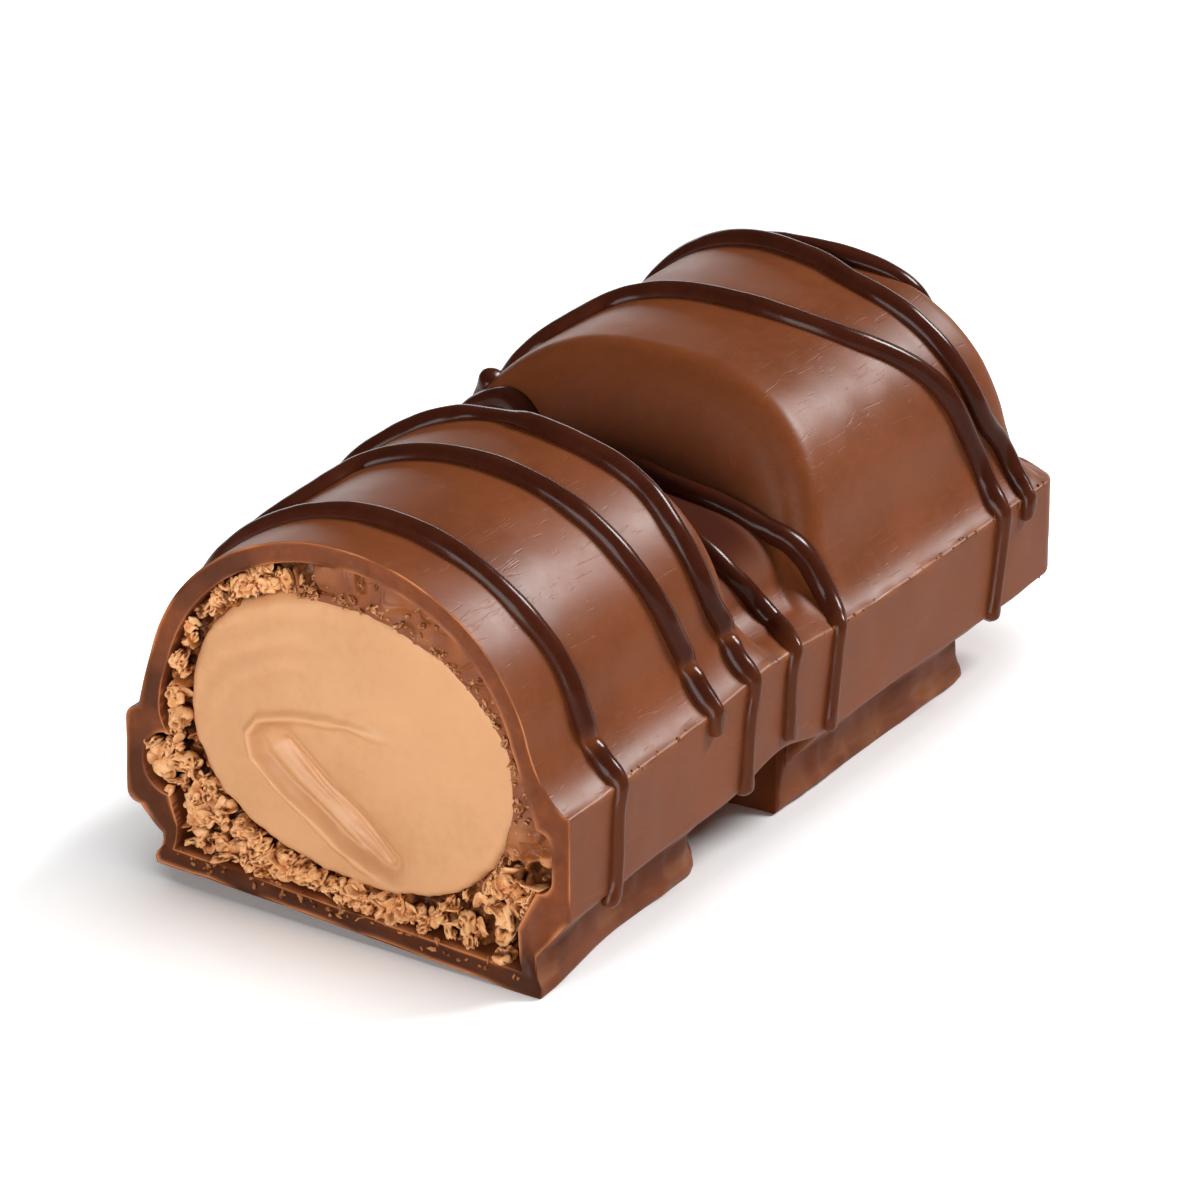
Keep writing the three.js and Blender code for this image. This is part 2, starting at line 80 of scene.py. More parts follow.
# Faces across the bar: foot, floor, lean, way, neck
NEAR_FACE = (17.8, 9.3, 0.09, 1, 0.54)
FAR_FACE = (22.4, 9.3, 0.42, -1, 0.54)
REAR_FACE = (43.4, 8.8, 0.14, 1, 0.0)
VALLEY_MIDDLE = (NEAR_FACE[0] + FAR_FACE[0]) / 2
NECK_INSET, FACE_HOLLOW = 0.9, 1.0
FOOT_WIDTH, FOOT_LIP, FOOT_STEP, FOOT_NECK = 19.7, 0.2, 0.1, 1.65
NEAR_FOOT_END, FAR_FOOT_START, FAR_FOOT_END = 14.2, 21.8, 38.5
FOOT_CORNER, FOOT_WALL, ARCH_STEP, FOOT_REACH, FOOT_REACH_RUN = 2.0, 0.15, 1.0, 1.85, 5.0
COATING = 0.95
CREAM_HALF, CREAM_MIDDLE, CREAM_POWER, CREAM_TILT = (8.6, 6.75), (-0.1, 8.8), 2.1, 0.06
# Paths on the cream's face, as (y, z): the crest of its hooked ridge and the hollow beside it
RIDGE = (
    (-2.3, 2.3), (0.8, 3.8), (3.3, 5.7), (4.9, 7.2), (5.1, 8.3),
    (4.5, 9.1), (2.6, 9.7), (-0.2, 9.9), (-2.7, 9.4),
)
SCOOP = ((-2.0, 3.6), (-0.4, 4.9), (1.6, 6.5), (3.4, 8.2))
TOE_FORWARD, TOE_OUT, HEEL_LIFT, TOE_RISE, TOE_RUN = 1.3, 0.8, 0.9, 4.2, 6.5

# Points along and around each surface
COATING_RING, WALL_RING = (54, 16, 22, 12, 14, 12), (60, 16, 20, 12, 12, 20)
WAFER_GRID, CREAM_GRID = (36, 900), (110, 420)
STRAND_STEP, STRAND_SIDES = 0.14, 18
# How far the rim's inner wall, the wafer and the cream go on behind the cut
WALL_BACK, WAFER_BACK, CREAM_BACK = 4.0, 5.0, 5.5
# Middle of the smooth stretch of wafer that chocolate has run over, from up towards -Y
SMOOTH_TURN = math.radians(46)
# Strands thin to drips past DRIP_START, and fade where they cross the near hump's ledge
DRIP_START, FADE_PLACE, FADE_END = 1.8, 1.34, 17

# Drizzle as (place, x) pairs: -3 is the flange's lower edge at -Y, -2 its upper edge, 0 the crown
STRANDS = (
    (
        (3.2, 3.2), (2.1, 3.2), (0.9, 3.2), (0.5, 3.3), (0.3, 3.5), (0.12, 3.6), (-0.2, 3.5),
        (-0.55, 3.5), (-0.86, 4), (-1.38, 4.1), (-1.94, 4.2), (-2.23, 3.8), (-2.69, 3.7), (-3.7, 3.1),
    ),
    (
        (2.5, 4.8), (2.1, 4.8), (1, 4.9), (0.6, 5.4), (0.5, 6.8), (0.43, 8.8), (0.36, 10.4),
        (0.06, 11.2), (-0.23, 11), (-0.63, 11.1), (-0.96, 11.9), (-1.18, 12.4), (-1.58, 12.3),
        (-2, 12.2), (-2.25, 12),
    ),
    (
        (3.1, 13.4), (2.1, 13.4), (1, 13.5), (0.6, 13.9), (0.42, 15), (0.27, 15.9), (0.1, 16.2),
        (-0.16, 15.5), (-0.46, 15.3), (-0.67, 14.9), (-0.88, 15), (-1.22, 15.8), (-1.61, 15.5),
        (-2, 15.5), (-2.4, 15), (-3.4, 14.6),
    ),
    (
        (2.9, 19.9), (2.1, 19.9), (1, 19.8), (0, 19.4), (-0.5, 19.2), (-0.82, 19.3), (-0.99, 20),
        (-1.53, 20.2), (-1.96, 19.3), (-2.2, 18.7), (-2.96, 18.5),
    ),
    (
        (2.9, 25), (2.1, 25), (0.9, 25.1), (0.6, 25), (0.3, 24.1), (-0.07, 23.1), (-0.25, 22.5),
        (-0.63, 23.3), (-1.17, 24), (-1.5, 24.1), (-1.88, 23.7), (-2.05, 23), (-2.43, 22.6), (-3, 22.1),
    ),
    (
        (2.6, 26.7), (2.1, 26.7), (1, 26.6), (0.8, 26.5), (0.66, 26.3),
    ),
    (
        (2.9, 28.2), (2.1, 28.2), (1.1, 28.3), (0.7, 28.6), (0.5, 30.6), (0.38, 32.8), (0.12, 33.4),
        (-0.14, 33.4), (-0.31, 33.9), (-0.86, 37.8), (-1.3, 38.8), (-2.02, 38.4), (-3.3, 37),
    ),
    (
        (2.8, 40.6), (2.1, 40.6), (1, 40.9), (0.6, 41.2), (0.3, 41.1), (0.12, 40.8), (-0.05, 39.9),
        (-0.27, 38.8), (-0.58, 39), (-0.9, 39.6), (-1.3, 41), (-1.8, 41), (-2.25, 40.4),
    ),
    (
        (2.6, 42.3), (2.1, 42.3), (1.3, 42.1), (0.3, 41.4), (-0.05, 41), (-0.3, 41.4), (-0.45, 42.2),
        (-0.6, 42.8), (-0.8, 43.1),
    ),
)

FRAME_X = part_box("coating")[1].x / MM - LENGTH


def clamp(t):
    return np.clip(t, 0.0, 1.0)


def mix(a, b, t):
    return a + (b - a) * t


def smooth(t):
    return clamp(t) ** 2 * (3 - 2 * clamp(t))


def bell(t):
    return np.exp(-np.square(t))


def soft_min(a, b, r):
    """The lesser of a and b, rounded where they meet by about r."""
    h = clamp(0.5 + (b - a) / (2 * r))
    return mix(b, a, h) - r * h * (1 - h)


def corner_inset(x, end, radius):
    """How far a rounded corner of that radius lies inside a square one, near end."""
    past = clamp((x - (end - radius)) / radius)
    return radius * (1 - np.sqrt(1 - past**2))


def wave(x, rise, run, swell, at, spread):
    return rise * smooth(x / run) + swell * bell((x - at) / spread)


def flange_half(x, inset):
    return WIDTH / 2 - corner_inset(x, LENGTH - inset, FLANGE_CORNER)


def flange_top(x):
    return FLANGE_TOP + wave(x, *TOP_WAVE)


def flange_bottom(x, inset):
    return FLANGE_BOTTOM + wave(x, *BOTTOM_WAVE) + corner_inset(x, LENGTH - inset, FLANGE_KEEL)


def dome_half(x, z, inset):
    def turn(face):
        foot, floor, lean, way, neck = face
        corner = corner_inset(way * x, way * foot - lean * (z - floor) - inset, DOME_CORNER)
        return np.minimum(corner, NECK_INSET) if neck > 0 else corner

    far = np.maximum(turn(FAR_FACE), turn(REAR_FACE))
    return DOME_WIDTH / 2 - np.where(x < VALLEY_MIDDLE, turn(NEAR_FACE), far)


def under_faces(x, height, inset):
    """Lowers a height over the flange's edge to what the faces across the bar allow."""

    def lowered(face, result):
        foot, floor, lean, way, neck = face
        spread = math.hypot(1, 1 / lean)
        ground = floor - flange_top(x)
        level = np.maximum(ground, neck * height)
        slope = ground + way * (foot - x) / lean - inset * (spread - 1)
        room = -soft_min(-slope, -level, FACE_HOLLOW)
        return soft_min(result, room, np.maximum(1e-6, np.minimum(SHOULDER * spread, room)))

    far = lowered(REAR_FACE, lowered(FAR_FACE, height))
    return np.where(x < VALLEY_MIDDLE, lowered(NEAR_FACE, height), far)


def foot_at(x, inset):
    """How much of a foot there is at x, and half its width."""
    near = 1 - clamp((x - NEAR_FOOT_END + inset) / FOOT_WALL)
    begun = clamp((x - FAR_FOOT_START - inset) / FOOT_WALL + 1)
    far = begun * (1 - clamp((x - FAR_FOOT_END + inset) / FOOT_WALL))
    end = np.where(x < VALLEY_MIDDLE, NEAR_FOOT_END, FAR_FOOT_END) - inset
    half = FOOT_WIDTH / 2 - np.minimum(corner_inset(x, end, FOOT_CORNER), FOOT_CORNER / 2)
    return np.maximum(near, far), half


def dome_point(x, side, t, inset):
    """y and z on the hump's section, from the crown at 0 to its foot at 1."""
    angle = mix(math.pi / 2, DOME_FOOT_ANGLE, t)
    power = mix(*DOME_POWERS, smooth(x / FAR_FACE[0]))
    z = mix(DOME_BASE, CROWN - inset, np.sin(angle) ** (2 / power))
    y = (dome_half(x, z, inset) - inset) * np.abs(np.cos(angle)) ** (2 / power)
    return side * y + DOME_OFFSET, z


def edge_round(side, inset):
    return np.where(side < 0, *FLANGE_ROUNDS) + BULGE_ROUND * inset


def flange_point(x, side, t, inset):
    top, bottom = flange_top(x) - inset, flange_bottom(x, inset) + inset
    z = mix(top, bottom, t)
    reach = (top - bottom) / 2
    rounding = np.minimum(edge_round(side, inset), reach)
    drawn = corner_inset(np.abs(z - (top + bottom) / 2), reach, rounding)
    return side * (flange_half(x, inset) - edge_round(side, inset) + rounding - inset - drawn), z


def outline(x, side, along, inset=0.0):
    """y and z of the bar's section at x. Along it, 0 is the crown, 1 the dome's foot, 2 and 3 the
    flange's edges, 4 and 5 the ends of the foot's side, and 6 the middle of the underside."""
    x, side, along = np.broadcast_arrays(np.asarray(x, float), side, along)
    top, bottom = flange_top(x) - inset, flange_bottom(x, inset) + inset
    depth, half = foot_at(x, inset)
    edge, _ = flange_point(x, side, 1.0, inset)
    wall = np.minimum(half - inset, side * edge - FOOT_STEP)
    neck, base = bottom - FOOT_NECK * depth, mix(bottom, inset, depth)

    def foot(t):
        return wall + FOOT_LIP * depth * t**3 - ARCH_STEP * (1 - depth) * t

    y0, z0 = dome_point(x, side, clamp(along), inset)
    y1, z1 = dome_point(x, side, 1.0, inset)
    t = clamp(along - 1)
    bend_y = side * (dome_half(x, z1, inset) + LEDGE_FLARE - inset * LEDGE_SHARE) + DOME_OFFSET
    bend_z = flange_top(x) + LEDGE_RISE - inset
    end_y = side * (flange_half(x, inset) - edge_round(side, inset) - inset)
    yl = (1 - t) ** 2 * y1 + 2 * t * (1 - t) * bend_y + t * t * end_y
    zl = (1 - t) ** 2 * z1 + 2 * t * (1 - t) * bend_z + t * t * top
    yf, zf = flange_point(x, side, clamp(along - 2), inset)
    t3, t4, t5 = clamp(along - 3), clamp(along - 4), clamp(along - 5)
    zones = [along < 1, along < 2, along < 3, along < 4, along < 5]
    under = side * mix(foot(1.0), 0, t5)
    y = np.select(zones, [y0, yl, yf, mix(edge, side * wall, t3), side * foot(t4)], under)
    z = np.select(zones, [z0, zl, zf, mix(bottom, neck, t3), mix(neck, base, t4)], base)
    z = np.where(along < 2, top + under_faces(x, z - top, inset), z)
    return y, z


def skin_points(x, side, along, inset=0.0):
    """The outline as points, with the far foot reaching back under the valley."""
    x, side, along = np.broadcast_arrays(np.asarray(x, float), side, along)
    y, z = outline(x, side, along, inset)
    start = FAR_FOOT_START + inset
    low = clamp(1 - z / flange_bottom(x, inset)) ** 1.5
    near = np.where(x < start - 2 * FOOT_WALL, 0, clamp(1 - (x - start) / FOOT_REACH_RUN))
    return np.stack([x - FOOT_REACH * low * near, y, z], axis=-1)


def pulled(points):
    """The base at the cut is drawn forward and out at -Y and lifts off the floor at +Y."""
    x, y, z = np.moveaxis(np.asarray(points, float), -1, 0)
    share = smooth(1 - z / TOE_RISE) * smooth(1 - x / TOE_RUN)
    toe, out = clamp((10 - y) / 20), clamp(-y / 8)
    moved = [x - TOE_FORWARD * toe * share, y - TOE_OUT * out * share, z + HEEL_LIFT * (1 - toe) * share]
    return np.stack(moved, axis=-1)


def in_frame(points):
    """Bar millimetres as metres in the model's frame, kept on or above the floor and inside the box."""
    placed = pulled(points).reshape(-1, 3) + (FRAME_X, 0, 0)
    low, high = (np.array(corner) / MM for corner in CAD_BOX)
    return np.clip(placed, low, high) * MM


def noise(points, size, seed=0):
    """Smooth noise from -1 to 1 at points in millimetres, with forms of the given size."""
    scaled = np.asarray(points, float) / size + 101.7 * (seed + 1)
    cell = np.floor(scaled).astype(np.int64)
    part = scaled - cell
    part = part**3 * (part * (part * 6 - 15) + 10)
    total = np.zeros(scaled.shape[:-1])
    for step in itertools.product((0, 1), repeat=3):
        at = cell + step
        key = at[..., 0] * 73856093 ^ at[..., 1] * 19349663 ^ at[..., 2] * 83492791
        key = (key ^ (key >> 13)) * 1274126177 & 0xFFFFFFFF
        value = ((key ^ (key >> 16)) & 0xFFFF) / 32767.5 - 1
        total += value * np.prod(np.where(step, part, 1 - part), axis=-1)
    return total


def cells(flat, size, seed=0):
    """For points on a plane: distances to the nearest and next cell centre, and that cell's chance."""
    scaled = np.asarray(flat, float) / size
    home = np.floor(scaled).astype(np.int64)
    first = np.full(scaled.shape[:-1], 9.0)
    second, chance = first.copy(), first * 0
    for step in itertools.product((-1, 0, 1), repeat=2):
        at = home + step
        angle = at[..., 0] * 12.9898 + at[..., 1] * 78.233
        draw = [np.modf(np.abs(np.sin(angle + k + seed)) * 43758.5453)[0] for k in range(3)]
        gap = np.hypot(at[..., 0] + draw[0] - scaled[..., 0], at[..., 1] + draw[1] - scaled[..., 1])
        nearer = gap < first
        second = np.where(nearer, first, np.minimum(second, gap))
        chance = np.where(nearer, draw[2], chance)
        first = np.where(nearer, gap, first)
    return first * size, second * size, chance


def path_distance(path, flat):
    """Distance from plane points to a path, and how far along it the nearest spot is."""
    path = np.asarray(path, float)
    best = np.full(flat.shape[:-1], 99.0)
    run = best * 0
    done = 0.0
    for a, b in zip(path, path[1:]):
        length = np.linalg.norm(b - a)
        t = clamp(((flat - a) @ (b - a)) / length**2)
        gap = np.linalg.norm(flat - a - t[..., None] * (b - a), axis=-1)
        run = np.where(gap < best, done + t * length, run)
        best = np.minimum(best, gap)
        done += length
    return best, run


def grid_faces(rows, columns, wrap):
    """Quads of a grid of points, closed across its columns if wrap is set."""
    r, c = np.meshgrid(np.arange(rows - 1), np.arange(columns if wrap else columns - 1), indexing="ij")
    after = (c + 1) % columns
    quads = [r * columns + c, r * columns + after, (r + 1) * columns + after, (r + 1) * columns + c]
    return np.stack(quads, axis=-1).reshape(-1, 4)


def grid_normals(points, wrap):
    """Unit normals of a grid of points."""
    down = np.gradient(points, axis=0)
    if wrap:
        across = np.roll(points, -1, axis=1) - np.roll(points, 1, axis=1)
    else:
        across = np.gradient(points, axis=1)
    normal = np.cross(down, across)
    return normal / np.maximum(np.linalg.norm(normal, axis=-1, keepdims=True), 1e-9)


class Builder:
    """Gathers grids and other meshes into one piece, with a value for each named mask at each point."""

    def __init__(self, *masks):
        self.points, self.faces, self.slots = [], [], []
        self.masks = {mask: [] for mask in masks}
        self.count = 0

    def add(self, points, faces, slot=0, **masks):
        points = points.reshape(-1, 3)
        self.points.append(points)
        for face in faces:
            self.faces.append(face + self.count)
            self.slots.append(np.full(len(face), slot))
        for mask, values in self.masks.items():
            values.append(np.broadcast_to(np.asarray(masks.get(mask, 0.0), float).ravel(), len(points)))
        self.count += len(points)

    def make(self, name, materials, outward=True):
        mesh = bpy.data.meshes.new(name)
        points = in_frame(np.concatenate(self.points))
        sizes = np.concatenate([np.full(len(f), f.shape[1]) for f in self.faces])
        corners = np.concatenate([f.ravel() for f in self.faces])
        mesh.vertices.add(len(points))
        mesh.vertices.foreach_set("co", points.astype(np.float32).ravel())
        mesh.loops.add(len(corners))
        mesh.loops.foreach_set("vertex_index", corners.astype(np.int32))
        mesh.polygons.add(len(sizes))
        starts = np.concatenate([[0], np.cumsum(sizes)[:-1]])
        mesh.polygons.foreach_set("loop_start", starts.astype(np.int32))
        mesh.polygons.foreach_set("material_index", np.concatenate(self.slots).astype(np.int32))
        mesh.update(calc_edges=True)
        for mask, values in self.masks.items():
            layer = mesh.attributes.new(mask, "FLOAT", "POINT")
            layer.data.foreach_set("value", np.concatenate(values).astype(np.float32))
        work = bmesh.new()
        work.from_mesh(mesh)
        bmesh.ops.remove_doubles(work, verts=work.verts, dist=1e-7)
        if outward:
            bmesh.ops.recalc_face_normals(work, faces=work.faces)
        work.to_mesh(mesh)
        work.free()
        mesh.polygons.foreach_set("use_smooth", np.ones(len(mesh.polygons), bool))
        for material in materials:
            mesh.materials.append(material)
        piece = bpy.data.objects.new(name, mesh)
        bpy.context.scene.collection.objects.link(piece)
        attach(piece, "root")
        return piece


# Materials


def new_group(name, inputs, outputs):
    """An empty shader node group with number sockets, and its two end nodes."""
    group = bpy.data.node_groups.new(name, "ShaderNodeTree")
    for label, default in inputs.items():
        socket = group.interface.new_socket(label, in_out="INPUT", socket_type="NodeSocketFloat")
        socket.default_value = default
    for label in outputs:
        group.interface.new_socket(label, in_out="OUTPUT", socket_type="NodeSocketFloat")
    return group, group.nodes.new("NodeGroupInput"), group.nodes.new("NodeGroupOutput")


def add_node(tree, kind, **settings):
    """A node with its properties set by name and its inputs by number, as in_0."""
    node = tree.nodes.new(kind)
    for key, value in settings.items():
        if key.startswith("in_"):
            node.inputs[int(key[3:])].default_value = value
        else:
            setattr(node, key, value)
    return node


def mottle_group():
    """Uneven tone at two scales, tiny flecks, hairline scratches and the relief that goes with them."""
    if "Mottle" in bpy.data.node_groups:
        return bpy.data.node_groups["Mottle"]
    inputs = {"Broad": 250.0, "Fine": 1500.0, "Scratches": 0.5}
    group, start, end = new_group("Mottle", inputs, ("Tone", "Fleck", "Scratch", "Height"))
    link = group.links.new
    place = add_node(group, "ShaderNodeTexCoord")
    broad = add_node(group, "ShaderNodeTexNoise", in_3=4.0, in_4=0.6)
    fine = add_node(group, "ShaderNodeTexNoise", in_3=3.0, in_4=0.6)
    for node, socket in ((broad, "Broad"), (fine, "Fine")):
        link(place.outputs["Object"], node.inputs["Vector"])
        link(start.outputs[socket], node.inputs["Scale"])
    tone = add_node(group, "ShaderNodeMix", data_type="FLOAT", in_0=0.3)
    link(broad.outputs["Fac"], tone.inputs[2])
    link(fine.outputs["Fac"], tone.inputs[3])
    link(tone.outputs[0], end.inputs["Tone"])
    specks = add_node(group, "ShaderNodeTexVoronoi", feature="F1")
    link(place.outputs["Object"], specks.inputs["Vector"])
    link(start.outputs["Fine"], specks.inputs["Scale"])
    rare = add_node(group, "ShaderNodeMapRange", in_1=0.16, in_2=0.04)
    link(specks.outputs["Distance"], rare.inputs["Value"])
    link(rare.outputs["Result"], end.inputs["Fleck"])
    turned = add_node(group, "ShaderNodeMapping")
    turned.inputs["Rotation"].default_value = (0.7, 1.1, 0.9)
    turned.inputs["Scale"].default_value = (1.0, 7.0, 7.0)
    link(place.outputs["Object"], turned.inputs["Vector"])
    lines = add_node(group, "ShaderNodeTexNoise", in_2=420.0, in_3=2.0, in_4=0.5, in_8=1.6)
    link(turned.outputs["Vector"], lines.inputs["Vector"])
    narrow = add_node(group, "ShaderNodeMapRange", in_1=0.62, in_2=0.72)
    link(lines.outputs["Fac"], narrow.inputs["Value"])
    scratch = add_node(group, "ShaderNodeMath", operation="MULTIPLY")
    link(narrow.outputs["Result"], scratch.inputs[0])
    link(start.outputs["Scratches"], scratch.inputs[1])
    link(scratch.outputs[0], end.inputs["Scratch"])
    height = add_node(group, "ShaderNodeMath", operation="SUBTRACT")
    link(tone.outputs[0], height.inputs[0])
    link(scratch.outputs[0], height.inputs[1])
    link(height.outputs[0], end.inputs["Height"])
    return group


class Finish:
    """A material with a Principled shader and short ways to build what feeds it."""

    def __init__(self, name, **constants):
        self.material = bpy.data.materials.new(name)
        self.material.use_nodes = True
        self.tree = self.material.node_tree
        self.shader = self.tree.nodes["Principled BSDF"]
        for label, value in constants.items():
            self.shader.inputs[label.replace("_", " ").title().replace("Ior", "IOR")].default_value = value

    def node(self, kind, **settings):
        return add_node(self.tree, kind, **settings)

    def link(self, source, target):
        self.tree.links.new(source, target)
        return target

    def mottle(self, broad, fine, scratches):
        node = self.node("ShaderNodeGroup", node_tree=mottle_group())
        for label, value in (("Broad", broad), ("Fine", fine), ("Scratches", scratches)):
            node.inputs[label].default_value = value
        return node.outputs

    def mask(self, name):
        return self.node("ShaderNodeAttribute", attribute_name=name).outputs["Fac"]

    def ramp(self, source, *stops):
        node = self.node("ShaderNodeValToRGB")
        while len(node.color_ramp.elements) < len(stops):
            node.color_ramp.elements.new(0.5)
        for element, (at, colour) in zip(node.color_ramp.elements, stops):
            element.position = at
            element.color = (*colour, 1)
        self.link(source, node.inputs["Fac"])
        return node.outputs["Color"]

    def blend(self, share, a, b):
        node = self.node("ShaderNodeMix", data_type="RGBA")
        for socket, value in ((node.inputs[0], share), (node.inputs[6], a), (node.inputs[7], b)):
            if isinstance(value, bpy.types.NodeSocket):
                self.link(value, socket)
            else:
                socket.default_value = value if isinstance(value, float) else (*value, 1)
        return node.outputs[2]

    def span(self, source, low, high, start, end):
        node = self.node("ShaderNodeMapRange", in_1=low, in_2=high, in_3=start, in_4=end)
        self.link(source, node.inputs["Value"])
        return node.outputs["Result"]

    def times(self, a, b, operation="MULTIPLY"):
        node = self.node("ShaderNodeMath", operation=operation)
        for socket, value in zip(node.inputs, (a, b)):
            if isinstance(value, float):
                socket.default_value = value
            else:
                self.link(value, socket)
        return node.outputs[0]

    def relief(self, source, strength, distance):
        node = self.node("ShaderNodeBump", in_0=strength)
        node.inputs["Distance"].default_value = distance
        self.link(source, node.inputs["Height"])
        self.link(node.outputs["Normal"], self.shader.inputs["Normal"])

    def colour(self, source):
        self.link(source, self.shader.inputs["Base Color"])

    def roughness(self, source):
        self.link(source, self.shader.inputs["Roughness"])


def shade(colour, factor):
    """A colour made lighter or darker."""
    return tuple(min(1.0, channel * factor) for channel in colour)


def milk_finish(colours):
    """Satin milk chocolate, paler along worn edges and streaked at the feet, with a painted highlight on
    the feet's lower lip and painted shade in the valley and on the feet.
    """
    finish = Finish("Milk chocolate", specular_ior_level=0.22)
    milk, warm = tuple(colours.milk), tuple(colours.edge)
    mottle = finish.mottle(160.0, 1400.0, 0.4)
    base = finish.ramp(mottle["Tone"], (0.3, shade(milk, 0.82)), (0.5, milk), (0.72, shade(milk, 1.18)))
    flecked = finish.blend(finish.times(mottle["Fleck"], 0.25), base, shade(milk, 0.6))
    scratched = finish.blend(finish.times(mottle["Scratch"], 0.3), flecked, shade(milk, 1.9))
    lined = finish.blend(finish.mask("edge"), scratched, warm)
    # Lighter lower lip of the feet: partly smeared chocolate, partly a painted highlight.
    smeared = finish.blend(finish.mask("smear"), lined, shade(warm, 0.9))
    # Painted shade: the deep mask darkens the valley between the humps and the feet, and makes them
    # rougher.
    shadowed = tuple(channel * share for channel, share in zip(milk, (0.3, 0.17, 0.1)))
    finish.colour(finish.blend(finish.mask("deep"), smeared, shadowed))
    gloss = finish.span(mottle["Tone"], 0.3, 0.7, 0.33, 0.46)
    finish.roughness(finish.times(gloss, finish.times(finish.mask("deep"), 0.65), "ADD"))
    finish.relief(mottle["Height"], 0.25, 0.00006)
    return finish.material


def rim_finish(colours):
    """The cut through the coating: dull dark brown with thin bright lines along both edges, darkened by
    painted shade towards the bottom and the +Y side.
    """
    finish = Finish("Cut chocolate", specular_ior_level=0.2)
    mottle = finish.mottle(700.0, 2600.0, 0.2)
    rim, warm = tuple(colours.rim), tuple(colours.edge)
    base = finish.ramp(mottle["Tone"], (0.3, shade(rim, 0.7)), (0.55, rim), (0.75, shade(rim, 1.4)))
    # Painted shade darkens the cut where the deep mask is set.
    rim_painted_shade = finish.blend(finish.mask("deep"), base, shade(rim, 0.32))
    finish.colour(finish.blend(finish.mask("edge"), rim_painted_shade, shade(warm, 1.9)))
    finish.roughness(finish.span(mottle["Tone"], 0.3, 0.7, 0.42, 0.6))
    finish.relief(mottle["Height"], 0.5, 0.0001)
    return finish.material


def drizzle_finish(colours):
    """Glossy dark chocolate that thins to brown where it ran down the flange."""
    finish = Finish("Dark drizzle", specular_ior_level=0.17)
    dark, milk = tuple(colours.dark), tuple(colours.milk)
    mottle = finish.mottle(300.0, 1800.0, 0.15)
    base = finish.ramp(mottle["Tone"], (0.3, shade(dark, 0.75)), (0.7, shade(dark, 1.3)))
    thinned = finish.blend(finish.mask("thin"), base, mixed(dark, milk, 0.45))
    finish.colour(finish.blend(finish.mask("faded"), thinned, shade(milk, 0.9)))
    finish.roughness(finish.span(mottle["Tone"], 0.3, 0.7, 0.15, 0.24))
    finish.relief(mottle["Height"], 0.12, 0.00005)
    return finish.material


def wafer_finish(colours):
    """Dry toasted wafer: pale tan lumps, golden hollows and dark pits, with chocolate soaked in; the
    hollows and pits are darkened partly as painted shade, and the tiny pinholes are painted shade.
    """
    finish = Finish("Wafer", specular_ior_level=0.34)
    pale, toast, pit = tuple(colours.wafer), tuple(colours.toast), tuple(colours.rim)
    mottle = finish.mottle(900.0, 4200.0, 0.0)
    depth = finish.mask("depth")
    # Painted shade: the colour goes darker the deeper a point lies, from pale tops through toasted hollows
    # to near-black pits, partly toasted colour and partly painted shade.
    stops = ((0.0, shade(pale, 1.12)), (0.16, pale), (0.38, shade(toast, 1.35)), (0.68, shade(pit, 0.5)))
    base = finish.ramp(depth, *stops)
    holes = finish.node("ShaderNodeTexVoronoi", feature="F1")
    finish.link(finish.node("ShaderNodeTexCoord").outputs["Object"], holes.inputs["Vector"])
    holes.inputs["Scale"].default_value = 3600.0
    # Painted shade: tiny dark spots stand for pinholes that have no relief.
    pinhole_shade = finish.span(holes.outputs["Distance"], 0.26, 0.14, 0.0, 0.5)
    pinhole_shaded = finish.blend(pinhole_shade, base, shade(toast, 0.5))
    toned = finish.blend(finish.span(mottle["Tone"], 0.48, 0.64, 0.0, 0.7), pinhole_shaded, shade(toast, 1.6))
    chocolate = mixed(tuple(colours.milk), tuple(colours.edge), 0.05)
    finish.colour(finish.blend(finish.mask("soaked"), toned, chocolate))
    finish.roughness(finish.span(mottle["Tone"], 0.3, 0.7, 0.3, 0.62))
    finish.relief(mottle["Height"], 0.6, 0.00012)
    return finish.material


def cream_finish(colours):
    """Smooth nut cream with faint bands, a satin face and a wetter scoop, with painted shade in the crease
    beside the scoop and a painted highlight along the ridge's crest.
    """
    finish = Finish("Nut cream", specular_ior_level=0.45)
    cream, deep = tuple(colours.cream), tuple(colours.cream_deep)
    mottle = finish.mottle(220.0, 2000.0, 0.1)
    stops = ((0.3, mixed(cream, deep, 0.45)), (0.5, cream), (0.7, shade(cream, 1.06)))
    base = finish.ramp(mottle["Tone"], *stops)
    # The band mask darkens faint bands, the cream's own colour, and the crease beside the scoop as painted
    # shade.
    banded = finish.blend(finish.mask("band"), base, deep)
    # Painted highlight: the ridge's crest is coloured lighter.
    finish.colour(finish.blend(finish.mask("crest"), banded, shade(cream, 1.2)))
    wet = finish.span(finish.mask("wet"), 0.0, 1.0, 0.48, 0.34)
    finish.roughness(wet)
    finish.relief(mottle["Height"], 0.15, 0.0001)
    return finish.material


def mixed(a, b, share):
    """A colour between two."""
    return tuple(mix(x, y, share) for x, y in zip(a, b))


# Pieces


def side_stops(counts):
    """Places along half an outline, closer together where it bends."""
    dome, ledge, flange, neck, wall, base = counts
    edge = np.array([0, 0.01, 0.03, 0.06, 0.1, 0.15])
    faces = np.linspace(0.18, 0.82, flange)
    return np.concatenate([
        np.linspace(0, 1, dome, endpoint=False),
        1 + np.linspace(0, 1, ledge, endpoint=False),
        2 + np.concatenate([edge, faces, 1 - edge[:0:-1]]),
        3 + np.linspace(0, 1, neck, endpoint=False),
        4 + np.linspace(0, 1, wall, endpoint=False),
        5 + np.linspace(0, 1, base),
    ])


